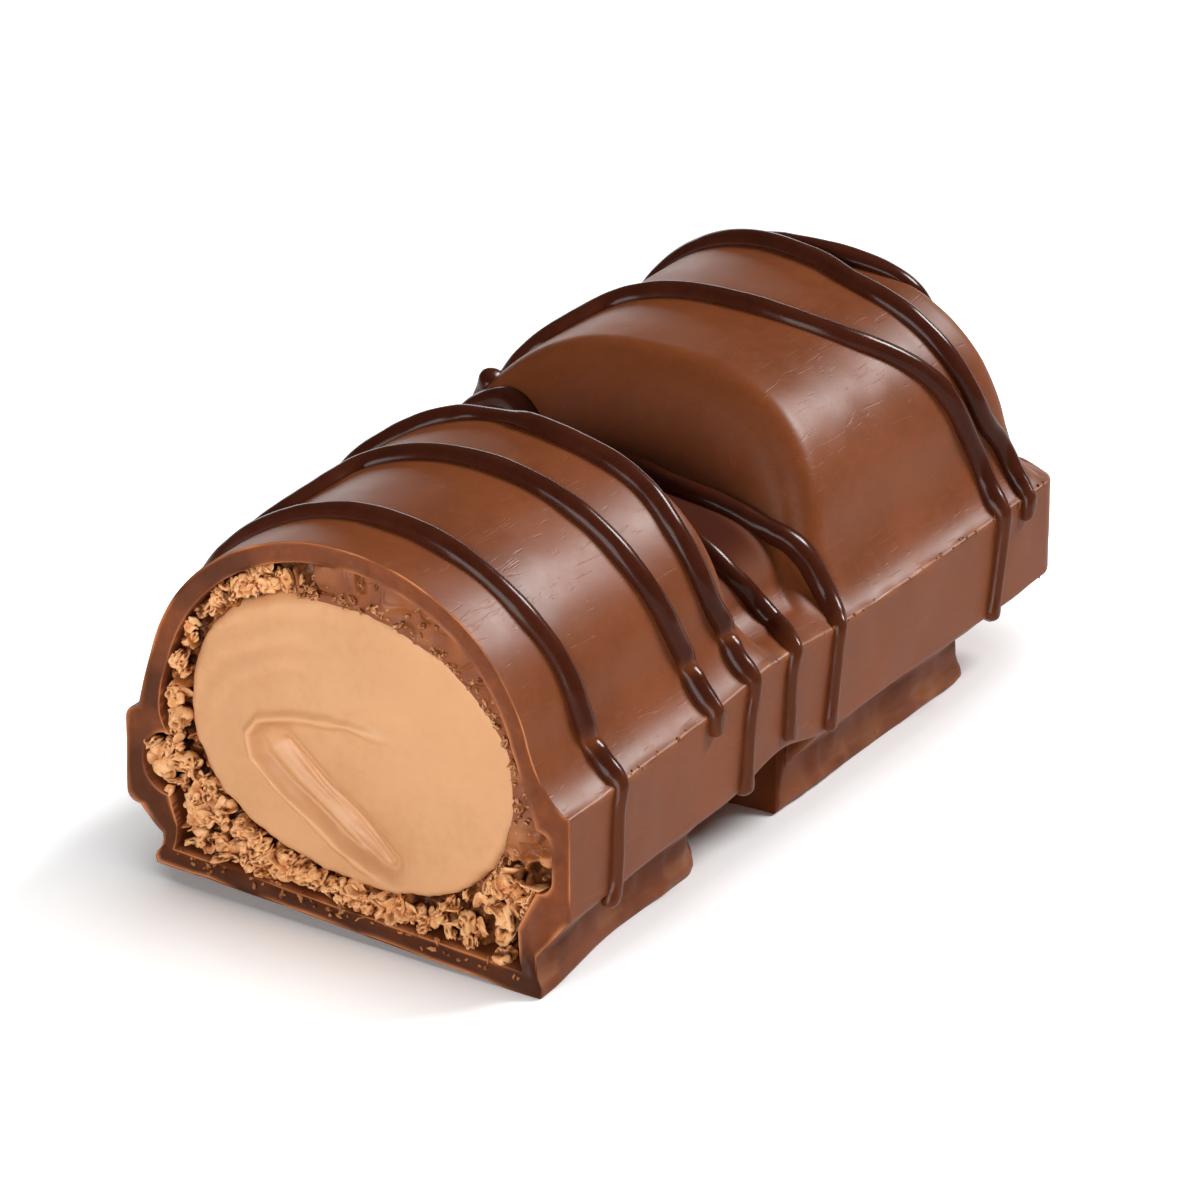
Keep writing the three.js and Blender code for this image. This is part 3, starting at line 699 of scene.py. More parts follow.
def ring_places(counts):
    """Sides and places of a whole outline, from the crown down -Y and up +Y."""
    stops = side_stops(counts)
    side = np.concatenate([-np.ones(len(stops)), np.ones(len(stops) - 2)])
    return side, np.concatenate([stops, stops[-2:0:-1]])


def skin_relief(points, along, side):
    """How far the coating stands out: broad waves, the parting line and the feet's uneven lip."""
    x, y, z = np.moveaxis(points, -1, 0)
    broad = 0.05 * noise(points, 4.5, 1) + 0.02 * noise(points, 1.6, 2)
    line = 0.06 * bell((along - 2.0) / 0.02) * clamp(0.4 + noise(points, 1.1, 3)) * (side < 0)
    foot = smooth((3.4 - z) / 1.4) * smooth((0.3 + z) / 0.5)
    flare = 0.16 * smooth((0.9 - z) / 0.5)
    lip = foot * (flare + 0.14 * noise(points * (1, 1, 0.6), 2.2, 4) + 0.08 * noise(points, 0.8, 5))
    return broad + line + lip * (along > 3) * (along < 5.2)


def build_coating(sizes, colours):
    """The milk chocolate skin, row by row from the cut to the closed rear end, and its cut rim."""
    side, along = ring_places(COATING_RING)
    near = np.concatenate([np.linspace(0, 0.4, 5), np.linspace(0.55, 13.8, 84)])
    ends = np.linspace(13.9, 14.4, 10)
    valley = np.linspace(14.5, 21.5, 46)
    start = np.linspace(21.6, 22.0, 8)
    far = np.linspace(22.15, 38.2, 92)
    rear = np.concatenate([np.linspace(38.3, 38.7, 7), np.linspace(38.9, 43.8, 36), [43.9, 43.96, 44.0]])
    x = np.concatenate([near, ends, valley, start, far, rear])
    points = skin_points(x[:, None], side[None], along[None])
    normal = grid_normals(points, True)
    from_middle = (points - np.array([22.0, 0.3, 8.0])) * (0.05, 1, 1)
    outward = np.sign(np.sum(normal * from_middle, axis=-1, keepdims=True))
    relief = skin_relief(points, along[None], side[None]) * sizes.unevenness
    points = points + normal * outward * (relief * smooth((LENGTH - x[:, None]) / 0.8))[..., None]
    px, py, pz = np.moveaxis(points, -1, 0)
    line = bell((along[None] - 2.0) / 0.035) * clamp(0.25 + 1.1 * noise(points, 0.9, 8)) * (side[None] < 0)
    low = smooth((3.6 - pz) / 1.5)
    # The feet's lower lip is coloured lighter: partly smeared chocolate, partly a painted highlight.
    smear = smooth((1.5 - pz) / 0.7) * smooth(2.6 * noise(points * (0.35, 1, 1.3), 1.0, 6) - 0.3) * 0.8
    # Painted shade: slot darkens the valley between the humps and low, unevenly, the feet below the
    # flange's overhang; both feed the deep mask.
    slot = smooth((px - 17.4) / 1.4) * smooth((23.6 - px) / 2.0) * smooth((1.12 - along[None]) / 0.55)
    deep = np.maximum(low * 0.34 * clamp(0.8 + noise(points, 2.0, 9)), slot)
    piece = Builder("edge", "smear", "deep")
    piece.add(points, [grid_faces(len(x), len(side), True)], 0, edge=line, smear=smear, deep=deep)
    last = np.arange(len(side)) + (len(x) - 1) * len(side)
    middle = points[-1].mean(axis=0)
    piece.add(middle[None], [], 0)
    piece.faces.append(np.stack([last, np.roll(last, -1), np.full(len(side), piece.count - 1)], axis=-1))
    piece.slots.append(np.zeros(len(side)))
    add_rim(piece, points[0], side, along, sizes)
    made = piece.make("coating_skin", [milk_finish(colours), rim_finish(colours)])
    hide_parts("coating")
    return made


def add_rim(piece, outer, side, along, sizes):
    """The cut through the coating and the first millimetres of its inner wall."""
    inner = skin_points(np.zeros(len(side)), side, along, COATING)
    t = np.concatenate([[0, 0.03, 0.07, 0.12], np.linspace(0.2, 0.8, 7), [0.88, 0.93, 0.97, 1.0]])
    face = mix(outer[None], inner[None], t[:, None, None])
    ragged = 0.05 * noise(face, 0.7, 11) + 0.03 * noise(face, 0.25, 12)
    lip = 0.07 * (bell((t - 0.05) / 0.04) + bell((t - 0.95) / 0.04))
    cracked = smooth((2.6 - face[..., 2]) / 1.2) * 0.16 * clamp(noise(face, 0.9, 13) + 0.2)
    inside = bell((t[:, None] - 0.5) / 0.5)
    face[..., 0] += (0.06 * inside - lip[:, None] + ragged * inside + cracked * inside)
    wander = clamp(0.55 + noise(face, 1.4, 14))
    edge = np.maximum(bell((t - 0.04) / 0.07), 0.9 * bell((t - 0.96) / 0.07))[:, None] * wander
    # Painted shade: the cut is darkened towards the bottom and towards +Y, through the deep mask.
    low = smooth((2.6 - face[..., 2]) / 1.4) * clamp(0.9 + 0.4 * noise(face, 1.2, 15))
    low = np.maximum(low, 0.75 * smooth((face[..., 1] - 1) / 6) * clamp(0.7 + 0.8 * noise(face, 1.8, 16)))
    piece.add(face, [grid_faces(len(t), len(side), True)], 1, edge=edge, deep=low)
    back = np.linspace(0, WALL_BACK, 9)
    wall = skin_points(back[:, None], side[None], along[None], COATING)
    wall[0] = face[-1]
    piece.add(wall, [grid_faces(len(back), len(side), True)], 1)


def catmull(pairs, per):
    """A centripetal Catmull-Rom curve through pairs, in equal steps of its parameter."""
    p = np.asarray(pairs, float)
    p = np.concatenate([[2 * p[0] - p[1]], p, [2 * p[-1] - p[-2]]])
    out = []
    for i in range(len(p) - 3):
        a, b, c, d = p[i : i + 4]
        d0, d1, d2 = (np.linalg.norm(v) ** 0.5 for v in (b - a, c - b, d - c))
        m1 = ((b - a) / d0 - (c - a) / (d0 + d1) + (c - b) / d1) * d1
        m2 = ((c - b) / d1 - (d - b) / (d1 + d2) + (d - c) / d2) * d1
        t = np.linspace(0, 1, per, endpoint=i == len(p) - 4)[:, None]
        held = (2 * t**3 - 3 * t**2 + 1) * b + (t**3 - 2 * t**2 + t) * m1
        out.append(held + (3 * t**2 - 2 * t**3) * c + (t**3 - t**2) * m2)
    return np.concatenate(out)


def strand_points(place, x):
    """Points of the bar's surface at places across it; past 3 they hang below the flange's edge."""
    along = np.minimum(np.abs(place), 3)
    y, z = outline(x, np.where(place > 0, 1.0, -1.0), along)
    return np.stack([x, y, z - np.abs(place) + along], axis=-1)


def strand_normals(place, x):
    reach = 0.06
    across = strand_points(place + reach, x) - strand_points(place - reach, x)
    along = strand_points(place, x + reach) - strand_points(place, x - reach)
    normal = np.cross(across, along)
    normal /= np.linalg.norm(normal, axis=-1, keepdims=True)
    out = strand_points(place, x) - np.stack([x, x * 0, x * 0 + 5], axis=-1)
    return normal * np.sign(np.sum(normal * out, axis=-1, keepdims=True))


def blurred(values, width):
    """Values along a strand, averaged with a bell of the given width in steps."""
    reach = int(3 * width)
    weights = bell(np.arange(-reach, reach + 1) / width)
    padded = np.concatenate([np.repeat(values[:1], reach, 0), values, np.repeat(values[-1:], reach, 0)])
    columns = [np.convolve(column, weights / weights.sum(), "valid") for column in padded.T]
    return np.stack(columns, axis=-1)


def add_strand(piece, pairs, seed, sizes):
    """One drizzle strand: a half-sunk tube that thins down the flange and has rounded ends."""
    fine = catmull(pairs, 160)
    spots = strand_points(fine[:, 0], fine[:, 1])
    run = np.concatenate([[0], np.cumsum(np.linalg.norm(np.diff(spots, axis=0), axis=1))])
    at = np.arange(0, run[-1], STRAND_STEP)
    place, x = (np.interp(at, run, fine[:, k]) for k in (0, 1))
    spot = strand_points(place, x)
    up = strand_normals(place, x)
    up = blurred(up, 3.0)
    up /= np.linalg.norm(up, axis=-1, keepdims=True)
    spot = mix(blurred(spot, 2.0), blurred(spot, 6.0), smooth((1.6 - np.abs(place)) / 0.3)[:, None])
    tangent = np.gradient(spot, axis=0)
    across = np.cross(tangent, up)
    across /= np.linalg.norm(across, axis=-1, keepdims=True)
    thin = smooth((np.abs(place) - DRIP_START) / 0.4)
    faded = 0.7 * bell((np.abs(place) - FADE_PLACE) / 0.1) * (x < FADE_END)
    left = np.minimum(at, run[-1] - at)
    tip = np.sqrt(1 - (1 - clamp(left / 0.7)) ** 2)
    drop = 1 + 0.25 * bell((run[-1] - at - 0.7) / 0.5)
    sway = 1 + 0.08 * noise(spot, 3.4, 20 + seed) + 0.03 * noise(spot, 0.8, 40 + seed)
    width = sizes.drizzle_width / MM * mix(1, 0.55, thin) * sway * mix(0.3, 1, tip) * drop
    height = sizes.drizzle_height / MM * mix(1, 0.72, thin) * sway * mix(0.15, 1, tip) * drop
    height = height * (1 - 0.5 * faded)
    angle = np.linspace(0, 2 * math.pi, STRAND_SIDES, endpoint=False)
    wide = np.sin(angle) * np.where(np.cos(angle) > 0, 1 - 0.12 * np.cos(angle) ** 2, 1.0)
    tall = np.where(np.cos(angle) > 0, np.cos(angle), 0.7 * np.cos(angle))
    rings = (
        spot[:, None]
        + across[:, None] * (0.5 * wide * width[:, None])[..., None]
        + up[:, None] * (tall * height[:, None])[..., None]
    )
    count = len(angle)
    faces = [grid_faces(len(at), count, True)]
    for ring in (0, len(at) - 1):
        faces.append((np.arange(count) + ring * count)[None])
    piece.add(rings, faces, 0, thin=np.repeat(thin, count), faded=np.repeat(faded, count))


def build_drizzle(sizes, colours):
    piece = Builder("thin", "faded")
    for seed, pairs in enumerate(STRANDS):
        add_strand(piece, pairs, seed, sizes)
    made = piece.make("drizzle", [drizzle_finish(colours)])
    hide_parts("coating")
    return made


def cream_radius(angle, margin):
    """Distance from the filling's middle to its edge, at angles from up towards -Y."""
    y, z = -np.sin(angle), np.cos(angle)
    half_y, half_z = (half + margin for half in CREAM_HALF)
    z_level = z - CREAM_TILT * y
    total = np.abs(y / half_y) ** CREAM_POWER + np.abs(z_level / half_z) ** CREAM_POWER
    return total ** (-1 / CREAM_POWER)


def wall_radius(angle, inset):
    """Distance from the filling's middle to the coating's inside, at the same angles."""
    side, along = ring_places(WALL_RING)
    y, z = outline(0.0, side, along, inset)
    y, z = y - CREAM_MIDDLE[0], z - CREAM_MIDDLE[1]
    turn = np.mod(np.arctan2(-y, z), 2 * math.pi)
    order = np.argsort(turn)
    return np.interp(angle, turn[order], np.hypot(y, z)[order], period=2 * math.pi)


def face_point(angle, radius, x):
    """A point at an angle and distance from the cream's middle, x behind the cut."""
    y, z = CREAM_MIDDLE[0] - np.sin(angle) * radius, CREAM_MIDDLE[1] + np.cos(angle) * radius
    return np.stack([x, y, z], axis=-1)


def crumb_relief(solid):
    """Depth of the broken wafer behind the cut: thin bent walls with cells between them, and pits."""
    warped = solid + 0.3 * np.stack([noise(solid, 0.8, k) for k in (60, 61, 62)], axis=-1)
    walls = smooth(np.abs(noise(warped, 1.5, 63)) * 3.2)
    small = smooth(np.abs(noise(warped, 0.7, 64)) * 2.6)
    near, _, chance = cells(warped[..., 1:], 0.6, 7.0)
    pit = np.where(chance > 0.6, clamp(1 - (near / 0.26) ** 2), 0) ** 0.5
    broad = 0.45 * noise(solid, 2.2, 65) + 0.1 * noise(solid, 0.3, 66)
    return np.clip(0.15 + 0.75 * walls + 0.45 * small + 0.5 * pit + broad, 0.02, 2.4)


def smear_relief(solid):
    """Depth of the smooth stretch that chocolate has run over, with wrinkles and cracks."""
    wrinkle = clamp(1 - np.abs(noise(solid, 0.9, 67)) * 5)
    crack = clamp(1 - np.abs(noise(solid, 1.3, 68)) * 10) * clamp(noise(solid, 1.0, 69) * 2)
    return 0.22 + 0.18 * noise(solid, 1.1, 70) - 0.13 * wrinkle + 0.5 * crack


def build_wafer(sizes, colours):
    """The broken face of the wafer between cream and coating, its hidden sides and its crumbs."""
    rings, spokes = WAFER_GRID
    angle = np.linspace(0, 2 * math.pi, spokes, endpoint=False)[None]
    t = np.linspace(0, 1, rings)[:, None]
    radius = mix(cream_radius(angle, -0.12), wall_radius(angle, COATING + 0.02), t)
    point = face_point(angle + 0 * t, radius, radius * 0)
    upper = smooth((np.cos(angle - SMOOTH_TURN) - 0.4 + 0.12 * noise(point, 1.2, 71)) / 0.14)
    depth = mix(crumb_relief(point), smear_relief(point), upper)
    soaked = upper * clamp(0.9 + 0.3 * noise(point, 0.8, 72))
    point[..., 0] = 0.05 + depth * sizes.crag_depth / MM
    piece = Builder("depth", "soaked")
    # The depth mask darkens the deeper parts of the broken face, partly as painted shade.
    piece.add(point, [grid_faces(rings, spokes, True)], 0, depth=clamp(0.3 + depth / 1.8), soaked=soaked)
    for ring in (0, -1):
        back = np.linspace(0, 1, 4)[:, None, None]
        last = point[ring].copy()
        last[:, 0] = WAFER_BACK
        # The hidden sides are given a dark deep colour: painted shade in the gaps.
        piece.add(mix(point[ring][None], last[None], back), [grid_faces(4, spokes, True)], 0, depth=0.7)
    add_crumbs(piece, sizes)
    made = piece.make("wafer_layer", [wafer_finish(colours)], outward=False)
    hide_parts("wafer")
    return made


def lump(rng, size, squash):
    """A small broken lump with pits, as points about the origin, its triangles and how deep they lie."""
    work = bmesh.new()
    bmesh.ops.create_icosphere(work, subdivisions=3, radius=1.0)
    points = np.array([v.co for v in work.verts])
    faces = np.array([[v.index for v in f.verts] for f in work.faces])
    work.free()
    seed = int(rng.integers(1000))
    swell = 1 + 0.4 * noise(points, 0.8, seed) + 0.2 * noise(points, 0.35, seed + 1)
    pits = clamp(noise(points, 0.45, seed + 2) - 0.1) * 1.1
    turn = np.linalg.qr(rng.normal(size=(3, 3)))[0]
    shaped = points * (swell - pits)[:, None] * squash
    return shaped @ turn.T * size, faces, clamp(0.05 + pits * 1.6)


def curl(rng, size):
    """A bent thin shard of wafer about the origin, as lump."""
    u, v = np.meshgrid(np.linspace(-1, 1, 11), np.linspace(-1, 1, 9), indexing="ij")
    bend = rng.uniform(0.5, 1.3)
    turned = u * (1 - 0.35 * v**2) * bend
    sheet = np.stack([np.sin(turned) / bend, v * 0.7, (1 - np.cos(turned)) / bend], axis=-1)
    seed = int(rng.integers(1000))
    sheet = sheet + 0.14 * np.stack([noise(sheet, 0.6, seed + k) for k in range(3)], axis=-1)
    thick = 0.13 * grid_normals(sheet, False) * np.sqrt(clamp(1.05 - np.maximum(u**2, v**2)))[..., None]
    points = np.concatenate([(sheet + thick).reshape(-1, 3), (sheet - thick).reshape(-1, 3)])
    upper = grid_faces(11, 9, False)
    index = np.arange(99).reshape(11, 9)
    edge = np.concatenate([index[:-1, 0], index[-1, :-1], index[:0:-1, -1], index[0, :0:-1]])
    after = np.roll(edge, -1)
    sides = np.stack([edge, after, after + 99, edge + 99], axis=-1)
    turn = np.linalg.qr(rng.normal(size=(3, 3)))[0]
    deep = clamp(0.1 + 0.25 * noise(points, 0.5, seed + 4))
    return points @ turn.T * size, [upper, upper[:, ::-1] + 99, sides], deep


def add_crumbs(piece, sizes):
    """Separate lumps and bent shards that stand out of the broken wafer."""
    rng = np.random.default_rng(5)
    for _ in range(sizes.shards):
        angle = rng.uniform(0, 2 * math.pi)
        thick = wall_radius(angle, COATING) - cream_radius(angle, 0.0)
        if math.cos(angle - SMOOTH_TURN) > 0.36 or rng.uniform(0.3, 2.6) > thick:
            continue
        size = min(rng.uniform(0.25, 0.6), 0.2 + 0.3 * thick)
        radius = cream_radius(angle, 0.0) + rng.uniform(size * 0.7, max(thick - size * 0.5, size * 0.8))
        if rng.uniform() < 0.7:
            points, faces, deep = lump(rng, size, (1.0, rng.uniform(0.5, 1.0), rng.uniform(0.3, 0.8)))
            faces = [faces]
        else:
            points, faces, deep = curl(rng, size * 1.3)
        place = face_point(angle, radius, rng.uniform(0.3, 0.9) if size > 0.4 else rng.uniform(0.15, 0.7))
        # Painted shade: each lump is coloured darker on its far side, in its pits and the deeper it sits
        # behind the cut.
        shown = clamp(deep + 0.35 * smooth((points[:, 0] / size + 0.1) / 0.8) + 0.3 * (place[0] - 0.4))
        piece.add(points + place, faces, 0, depth=shown)


def cream_relief(flat):
    """Depth of the filling's face behind the cut, with the swirl's ridge and scoop."""
    ridge, run = path_distance(RIDGE, flat)
    scoop, _ = path_distance(SCOOP, flat)
    fade = smooth(run / 2.5) * smooth((18.3 - run) / 2.4) * mix(0.6, 1, bell((run - 8.0) / 5.0))
    solid = np.dstack([flat, flat[..., :1] * 0])
    crest = bell((ridge + 0.08 * noise(solid, 0.7, 70)) / 0.24) * fade
    hollow = bell(scoop / 0.72)
    crease = bell((ridge - 0.55) / 0.26) * bell((run - 6.0) / 4.5) * smooth((1.6 - scoop) / 0.8)
    swell = 0.2 * np.sin(flat[..., 0] / 2.7 + 1) * np.sin(flat[..., 1] / 2.1)
    place = smooth((flat[..., 0] - 0.5) / 4) * smooth((flat[..., 1] - 7) / 4)
    bands = 0.045 * np.sin(ridge * 5.0 + 1.8 * noise(solid, 4.0, 71)) * smooth((ridge - 0.8) / 1.5) * place
    streaks = 0.13 * hollow * noise(np.dstack([scoop[..., None] * 5, flat * 0.4]), 0.8, 72)
    uneven = bands + streaks + 0.03 * noise(solid, 2.2, 73)
    depth = 0.3 + swell + 0.55 * hollow + 0.36 * crease - 0.42 * crest + uneven
    # The last value adds the crease to the bands, so that the crease is darkened as painted shade.
    return depth, crest, hollow, bands + 0.16 * crease


def build_cream(sizes, colours):
    """The cream's face with its rounded edge, and its hidden side."""
    rings, spokes = CREAM_GRID
    angle = np.linspace(0, 2 * math.pi, spokes, endpoint=False)[None]
    t = np.linspace(0.0, 1, rings)[:, None] ** 0.8
    edge = cream_radius(angle, 0.0) + 0.1 * noise(face_point(angle, 8 + 0 * angle, angle * 0), 1.1, 75)
    edge = edge + 0.05 * noise(face_point(angle, 8 + 0 * angle, angle * 0), 0.4, 76)
    radius = np.maximum(edge * t, 1e-3)
    point = face_point(angle + 0 * t, radius, radius * 0)
    depth, crest, hollow, bands = cream_relief(point[..., 1:])
    rounding = 0.55 * (1 - np.sqrt(clamp(1 - ((edge * t - edge + 0.55) / 0.55).clip(0) ** 2)))
    point[..., 0] = depth * sizes.swirl_depth + rounding
    # Bands are the cream's own colour; the crease added to them is painted shade.
    band = clamp(bands * 7 + 0.1 + 0.25 * noise(point * (0, 1, 1), 3.0, 77)) * 0.75
    piece = Builder("band", "crest", "wet")
    wet = hollow * clamp(0.5 + 1.2 * noise(point, 0.5, 78))
    # The crest mask paints a highlight along the ridge.
    piece.add(point, [grid_faces(rings, spokes, True)], 0, band=band, crest=crest * 0.7, wet=wet)
    back = np.linspace(0, 1, 6)[:, None, None]
    last = point[-1].copy()
    last[:, 0] = CREAM_BACK
    piece.add(mix(point[-1][None], last[None], back), [grid_faces(6, spokes, True)], 0)
    made = piece.make("cream_filling", [cream_finish(colours)], outward=False)
    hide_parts("cream")
    return made


def build_flakes(sizes, colours):
    """Tiny crumbs caught on the parting line, the feet and the cut's lower edge."""
    rng = np.random.default_rng(11)
    piece = Builder("depth", "soaked")
    for _ in range(sizes.flakes):
        x = rng.choice([rng.uniform(22, 43), rng.uniform(3.5, 13), rng.uniform(14, 22)], p=[0.6, 0.3, 0.1])
        along = 2.0 + rng.normal() * 0.012 if rng.uniform() < 0.8 else rng.choice([3.0, 4.8])
        spot = skin_points(x, -1.0, along)
        size = rng.uniform(0.05, 0.12)
        points, faces, _ = lump(rng, size, (1, rng.uniform(0.5, 1), rng.uniform(0.4, 0.9)))
        piece.add(points + spot, [faces], 0, depth=0.35, soaked=rng.uniform(0.3, 0.9))
    for _ in range(sizes.flakes):
        side, along = rng.choice([-1.0, 1.0]), 6 - rng.uniform() ** 1.4
        outer, inner = skin_points(0.0, side, along), skin_points(0.0, side, along, COATING)
        size = rng.uniform(0.07, 0.2)
        points, faces, _ = lump(rng, size, (0.6, rng.uniform(0.7, 1.6), rng.uniform(0.3, 0.7)))
        spot = mix(outer, inner, rng.uniform(0.35, 1.1)) + (0.06, 0, 0)
        piece.add(points + spot, [faces], 0, depth=0.3, soaked=rng.uniform(0.2, 1.0))
    for _ in range(3 * sizes.flakes):
        angle = SMOOTH_TURN + rng.uniform(-1.25, 1.25)
        low, high = cream_radius(angle, 0.0), wall_radius(angle, COATING)
        share = rng.choice([rng.uniform(-0.02, 0.25), rng.uniform(0.1, 0.95)], p=[0.7, 0.3])
        size = rng.uniform(0.06, 0.19)
        points, faces, deep = lump(rng, size, (0.7, rng.uniform(0.6, 1.5), rng.uniform(0.3, 0.7)))
        spot = face_point(angle, mix(low, high, share), rng.uniform(0.1, 0.32))
        soaked = rng.uniform(0.3, 1.0) * (0.5 + 0.5 * share)
        # Painted shade: these crumbs are darker in their pits.
        piece.add(points + spot, [faces], 0, depth=0.15 + deep, soaked=soaked)
    made = piece.make("flakes", [wafer_finish(colours)], outward=False)
    return made


def build_stage():
    """Pale floor, soft lights and the camera at the photograph's angle."""
    scene = bpy.context.scene
    mesh = bpy.data.meshes.new("floor")
    half = 1.5
    corners = [(-half, -half, 0), (half, -half, 0), (half, half, 0), (-half, half, 0)]
    mesh.from_pydata(corners, [], [(0, 1, 2, 3)])
    floor = bpy.data.objects.new("floor", mesh)
    scene.collection.objects.link(floor)
    finish = Finish("Pale floor", roughness=0.9, specular_ior_level=0.1, emission_strength=0.75)
    finish.shader.inputs["Base Color"].default_value = (0.93, 0.93, 0.93, 1)
    # Painted contact shadow: the floor glows evenly to the camera only, and an ambient-occlusion node dims
    # that glow next to the bar.
    contact_shadow_ao = finish.node("ShaderNodeAmbientOcclusion", samples=16)
    contact_shadow_ao.inputs["Distance"].default_value = 0.009
    glow_outside_painted_shadow = finish.span(contact_shadow_ao.outputs["AO"], 0.45, 1.0, 0.0, 1.0)
    camera_glow = finish.times(finish.node("ShaderNodeLightPath").outputs["Is Camera Ray"], glow_outside_painted_shadow)
    finish.link(finish.blend(camera_glow, (0, 0, 0), (1, 1, 1)), finish.shader.inputs["Emission Color"])
    mesh.materials.append(finish.material)
    world = bpy.data.worlds.new("studio")
    world.use_nodes = True
    world.node_tree.nodes["Background"].inputs["Color"].default_value = (1, 1, 1, 1)
    world.node_tree.nodes["Background"].inputs["Strength"].default_value = 0.06
    scene.world = world
    camera = bpy.data.objects.new("camera", bpy.data.cameras.new("camera"))
    scene.collection.objects.link(camera)
    camera.data.lens = 245
    camera.data.sensor_width = 36
    camera.data.clip_start, camera.data.clip_end = 0.01, 10
    camera.location = (-0.29061, -0.17818, 0.15972)
    target = Vector((0.0, 0.0, 0.0078))
    camera.rotation_mode = "QUATERNION"
    camera.rotation_quaternion = (target - camera.location).to_track_quat("-Z", "Y")
    scene.camera = camera
    lights = (
        ("key", "SUN", (0.32, -0.18, 0.30), (0.34, 0), 3.4),
        ("back", "AREA", (0.46, 0.27, 0.065), (0.60, 0.11), 0.52),
        ("left", "AREA", (-0.42, -0.04, 0.11), (0.28, 0.28), 1.6),
    )
    for name, kind, place, (width, height), power in lights:
        data = bpy.data.lights.new(name, kind)
        if kind == "SUN":
            data.angle = width
        else:
            data.shape, data.size, data.size_y = "RECTANGLE", width, height
        data.energy = power
        light = bpy.data.objects.new(name, data)
        scene.collection.objects.link(light)
        light.location = place
        light.rotation_mode = "QUATERNION"
        light.rotation_quaternion = (target - light.location).to_track_quat("-Z", "Y")
    scene.view_settings.view_transform = "Standard"
    return floor


def length_property(name, description, default):
    return bpy.props.FloatProperty(name=name, description=description, default=default, unit="LENGTH")


def share_property(name, description):
    return bpy.props.FloatProperty(name=name, description=description, default=1.0, subtype="FACTOR")


def count_property(name, description, default):
    return bpy.props.IntProperty(name=name, description=description, default=default)


class BarSizes(bpy.types.PropertyGroup):
    """Sizes that can be changed without leaving the solids' shape"""

    drizzle_width: length_property("Drizzle width", "Width of a strand on the domes", 0.00118)
    drizzle_height: length_property("Drizzle height", "How far a strand stands up", 0.0006)
    crag_depth: length_property("Crag depth", "Depth of the wafer's hollows", 0.001)
    unevenness: share_property("Unevenness", "Waves and lips of the coating")
    swirl_depth: share_property("Swirl depth", "Relief of the filling's face")
    shards: count_property("Shards", "Loose lumps tried for in the wafer", 900)
    flakes: count_property("Flakes", "Tiny crumbs on the coating", 60)


def colour_property(name, description, default):
    return bpy.props.FloatVectorProperty(
        name=name, description=description, subtype="COLOR", size=3, default=default
    )


class BarColours(bpy.types.PropertyGroup):
    """Colours of the bar's layers"""

    milk: colour_property("Milk chocolate", "Coating", (0.224, 0.0595, 0.0175))
    # Worn chocolate also lightens the feet's lower lip, partly as a painted highlight.
    edge: colour_property("Worn chocolate", "Thin and smeared edges", (0.36, 0.125, 0.045))
    # Cut chocolate also colours the wafer's deepest pits, darkened there as painted shade.
    rim: colour_property("Cut chocolate", "Coating where it is cut", (0.2, 0.052, 0.016))
    dark: colour_property("Dark chocolate", "Drizzle", (0.062, 0.0135, 0.006))
    wafer: colour_property("Wafer", "Lumps of the wafer", (0.86, 0.46, 0.205))
    # Toasted wafer colours the hollows, darker there partly as painted shade.
    toast: colour_property("Toasted wafer", "Hollows of the wafer", (0.36, 0.12, 0.03))
    cream: colour_property("Cream", "Filling", (0.69, 0.355, 0.165))
    # Deep cream also darkens the crease beside the scoop, as painted shade.
    cream_deep: colour_property("Deep cream", "Bands in the filling", (0.54, 0.25, 0.1))


def settings(context):
    return context.scene.bar_sizes, context.scene.bar_colours


class BAR_OT_coating(bpy.types.Operator):
    """Builds the milk chocolate coating with its cut rim"""

    bl_idname = "bar.coating"
    bl_label = "Coating"

    def execute(self, context):
        build_coating(*settings(context))
        return {"FINISHED"}


class BAR_OT_drizzle(bpy.types.Operator):
    """Builds the dark chocolate strands"""

    bl_idname = "bar.drizzle"
    bl_label = "Drizzle"

    def execute(self, context):
        build_drizzle(*settings(context))
        return {"FINISHED"}


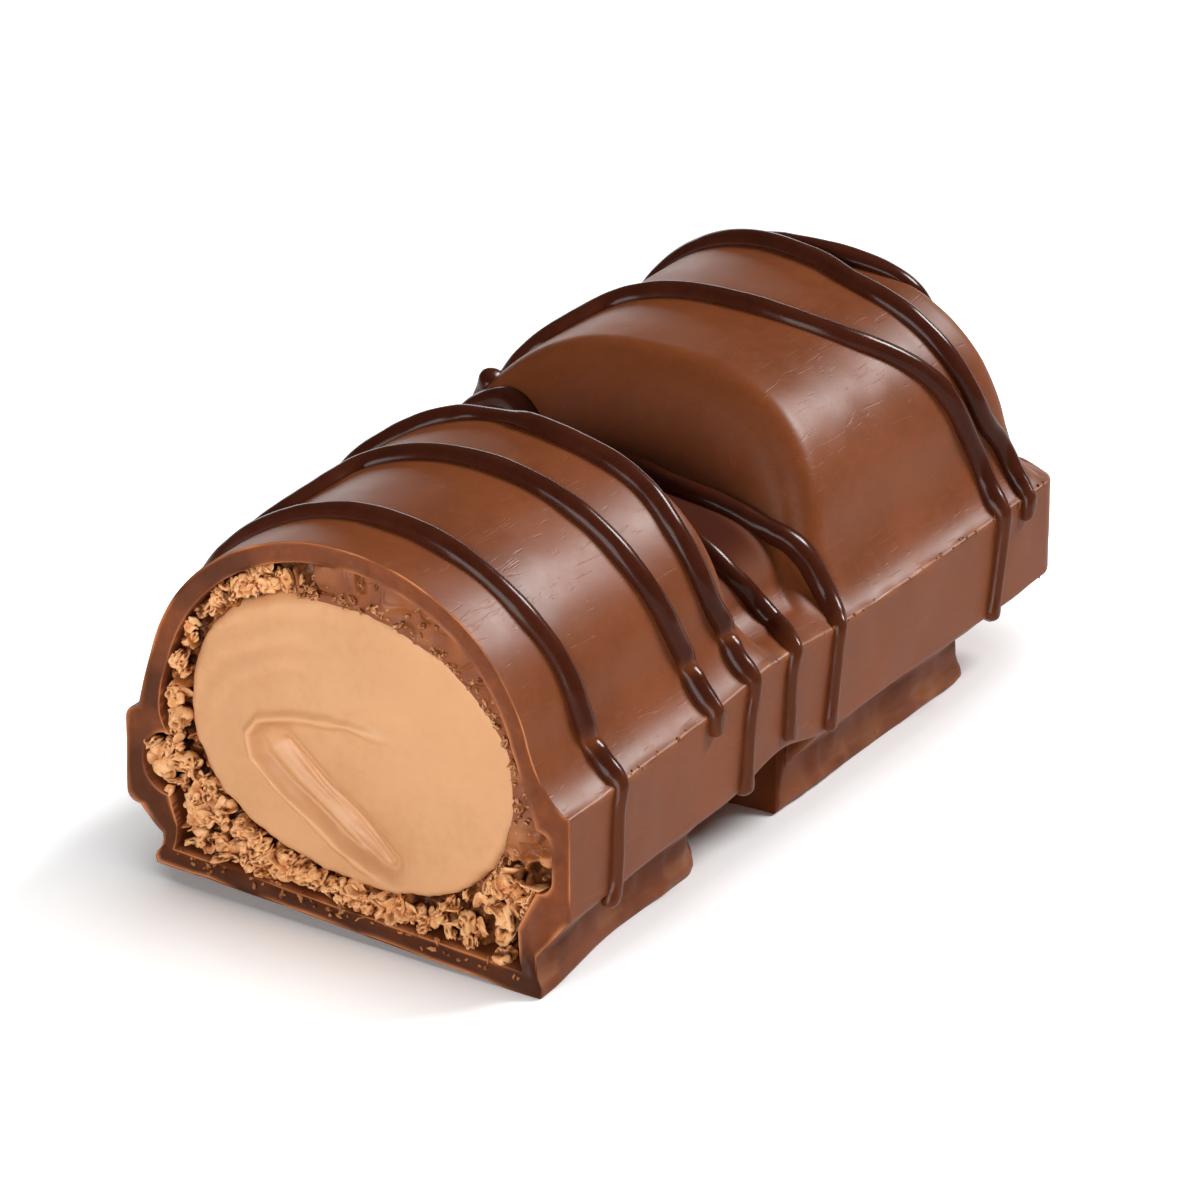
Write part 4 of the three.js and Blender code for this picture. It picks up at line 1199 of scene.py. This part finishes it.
class BAR_OT_wafer(bpy.types.Operator):
    """Builds the broken wafer layer"""

    bl_idname = "bar.wafer"
    bl_label = "Wafer"

    def execute(self, context):
        build_wafer(*settings(context))
        return {"FINISHED"}


class BAR_OT_cream(bpy.types.Operator):
    """Builds the filling with its swirl"""

    bl_idname = "bar.cream"
    bl_label = "Cream"

    def execute(self, context):
        build_cream(*settings(context))
        return {"FINISHED"}


class BAR_OT_flakes(bpy.types.Operator):
    """Scatters tiny crumbs on the coating"""

    bl_idname = "bar.flakes"
    bl_label = "Flakes"

    def execute(self, context):
        build_flakes(*settings(context))
        return {"FINISHED"}


class BAR_OT_stage(bpy.types.Operator):
    """Sets the floor, the lights and the camera"""

    bl_idname = "bar.stage"
    bl_label = "Stage"

    def execute(self, context):
        build_stage()
        return {"FINISHED"}


class BAR_PT_panel(bpy.types.Panel):
    """Lists the pieces with their sizes and colours"""

    bl_idname = "BAR_PT_panel"
    bl_label = "Wafer Bar"
    bl_space_type = "VIEW_3D"
    bl_region_type = "UI"
    bl_category = "Wafer Bar"

    def draw(self, context):
        for group in settings(context):
            for name in group.__annotations__:
                self.layout.prop(group, name)
        for operator in OPERATORS:
            self.layout.operator(operator.bl_idname)


OPERATORS = (BAR_OT_stage, BAR_OT_coating, BAR_OT_drizzle, BAR_OT_wafer, BAR_OT_cream, BAR_OT_flakes)
CLASSES = (BarSizes, BarColours, *OPERATORS, BAR_PT_panel)


def register():
    for item in CLASSES:
        bpy.utils.register_class(item)
    bpy.types.Scene.bar_sizes = bpy.props.PointerProperty(type=BarSizes)
    bpy.types.Scene.bar_colours = bpy.props.PointerProperty(type=BarColours)


def unregister():
    del bpy.types.Scene.bar_colours
    del bpy.types.Scene.bar_sizes
    for item in reversed(CLASSES):
        bpy.utils.unregister_class(item)


def main():
    register()
    bpy.ops.bar.stage()
    bpy.ops.bar.coating()
    bpy.ops.bar.drizzle()
    bpy.ops.bar.wafer()
    bpy.ops.bar.cream()
    bpy.ops.bar.flakes()


if __name__ == "__main__":
    main()
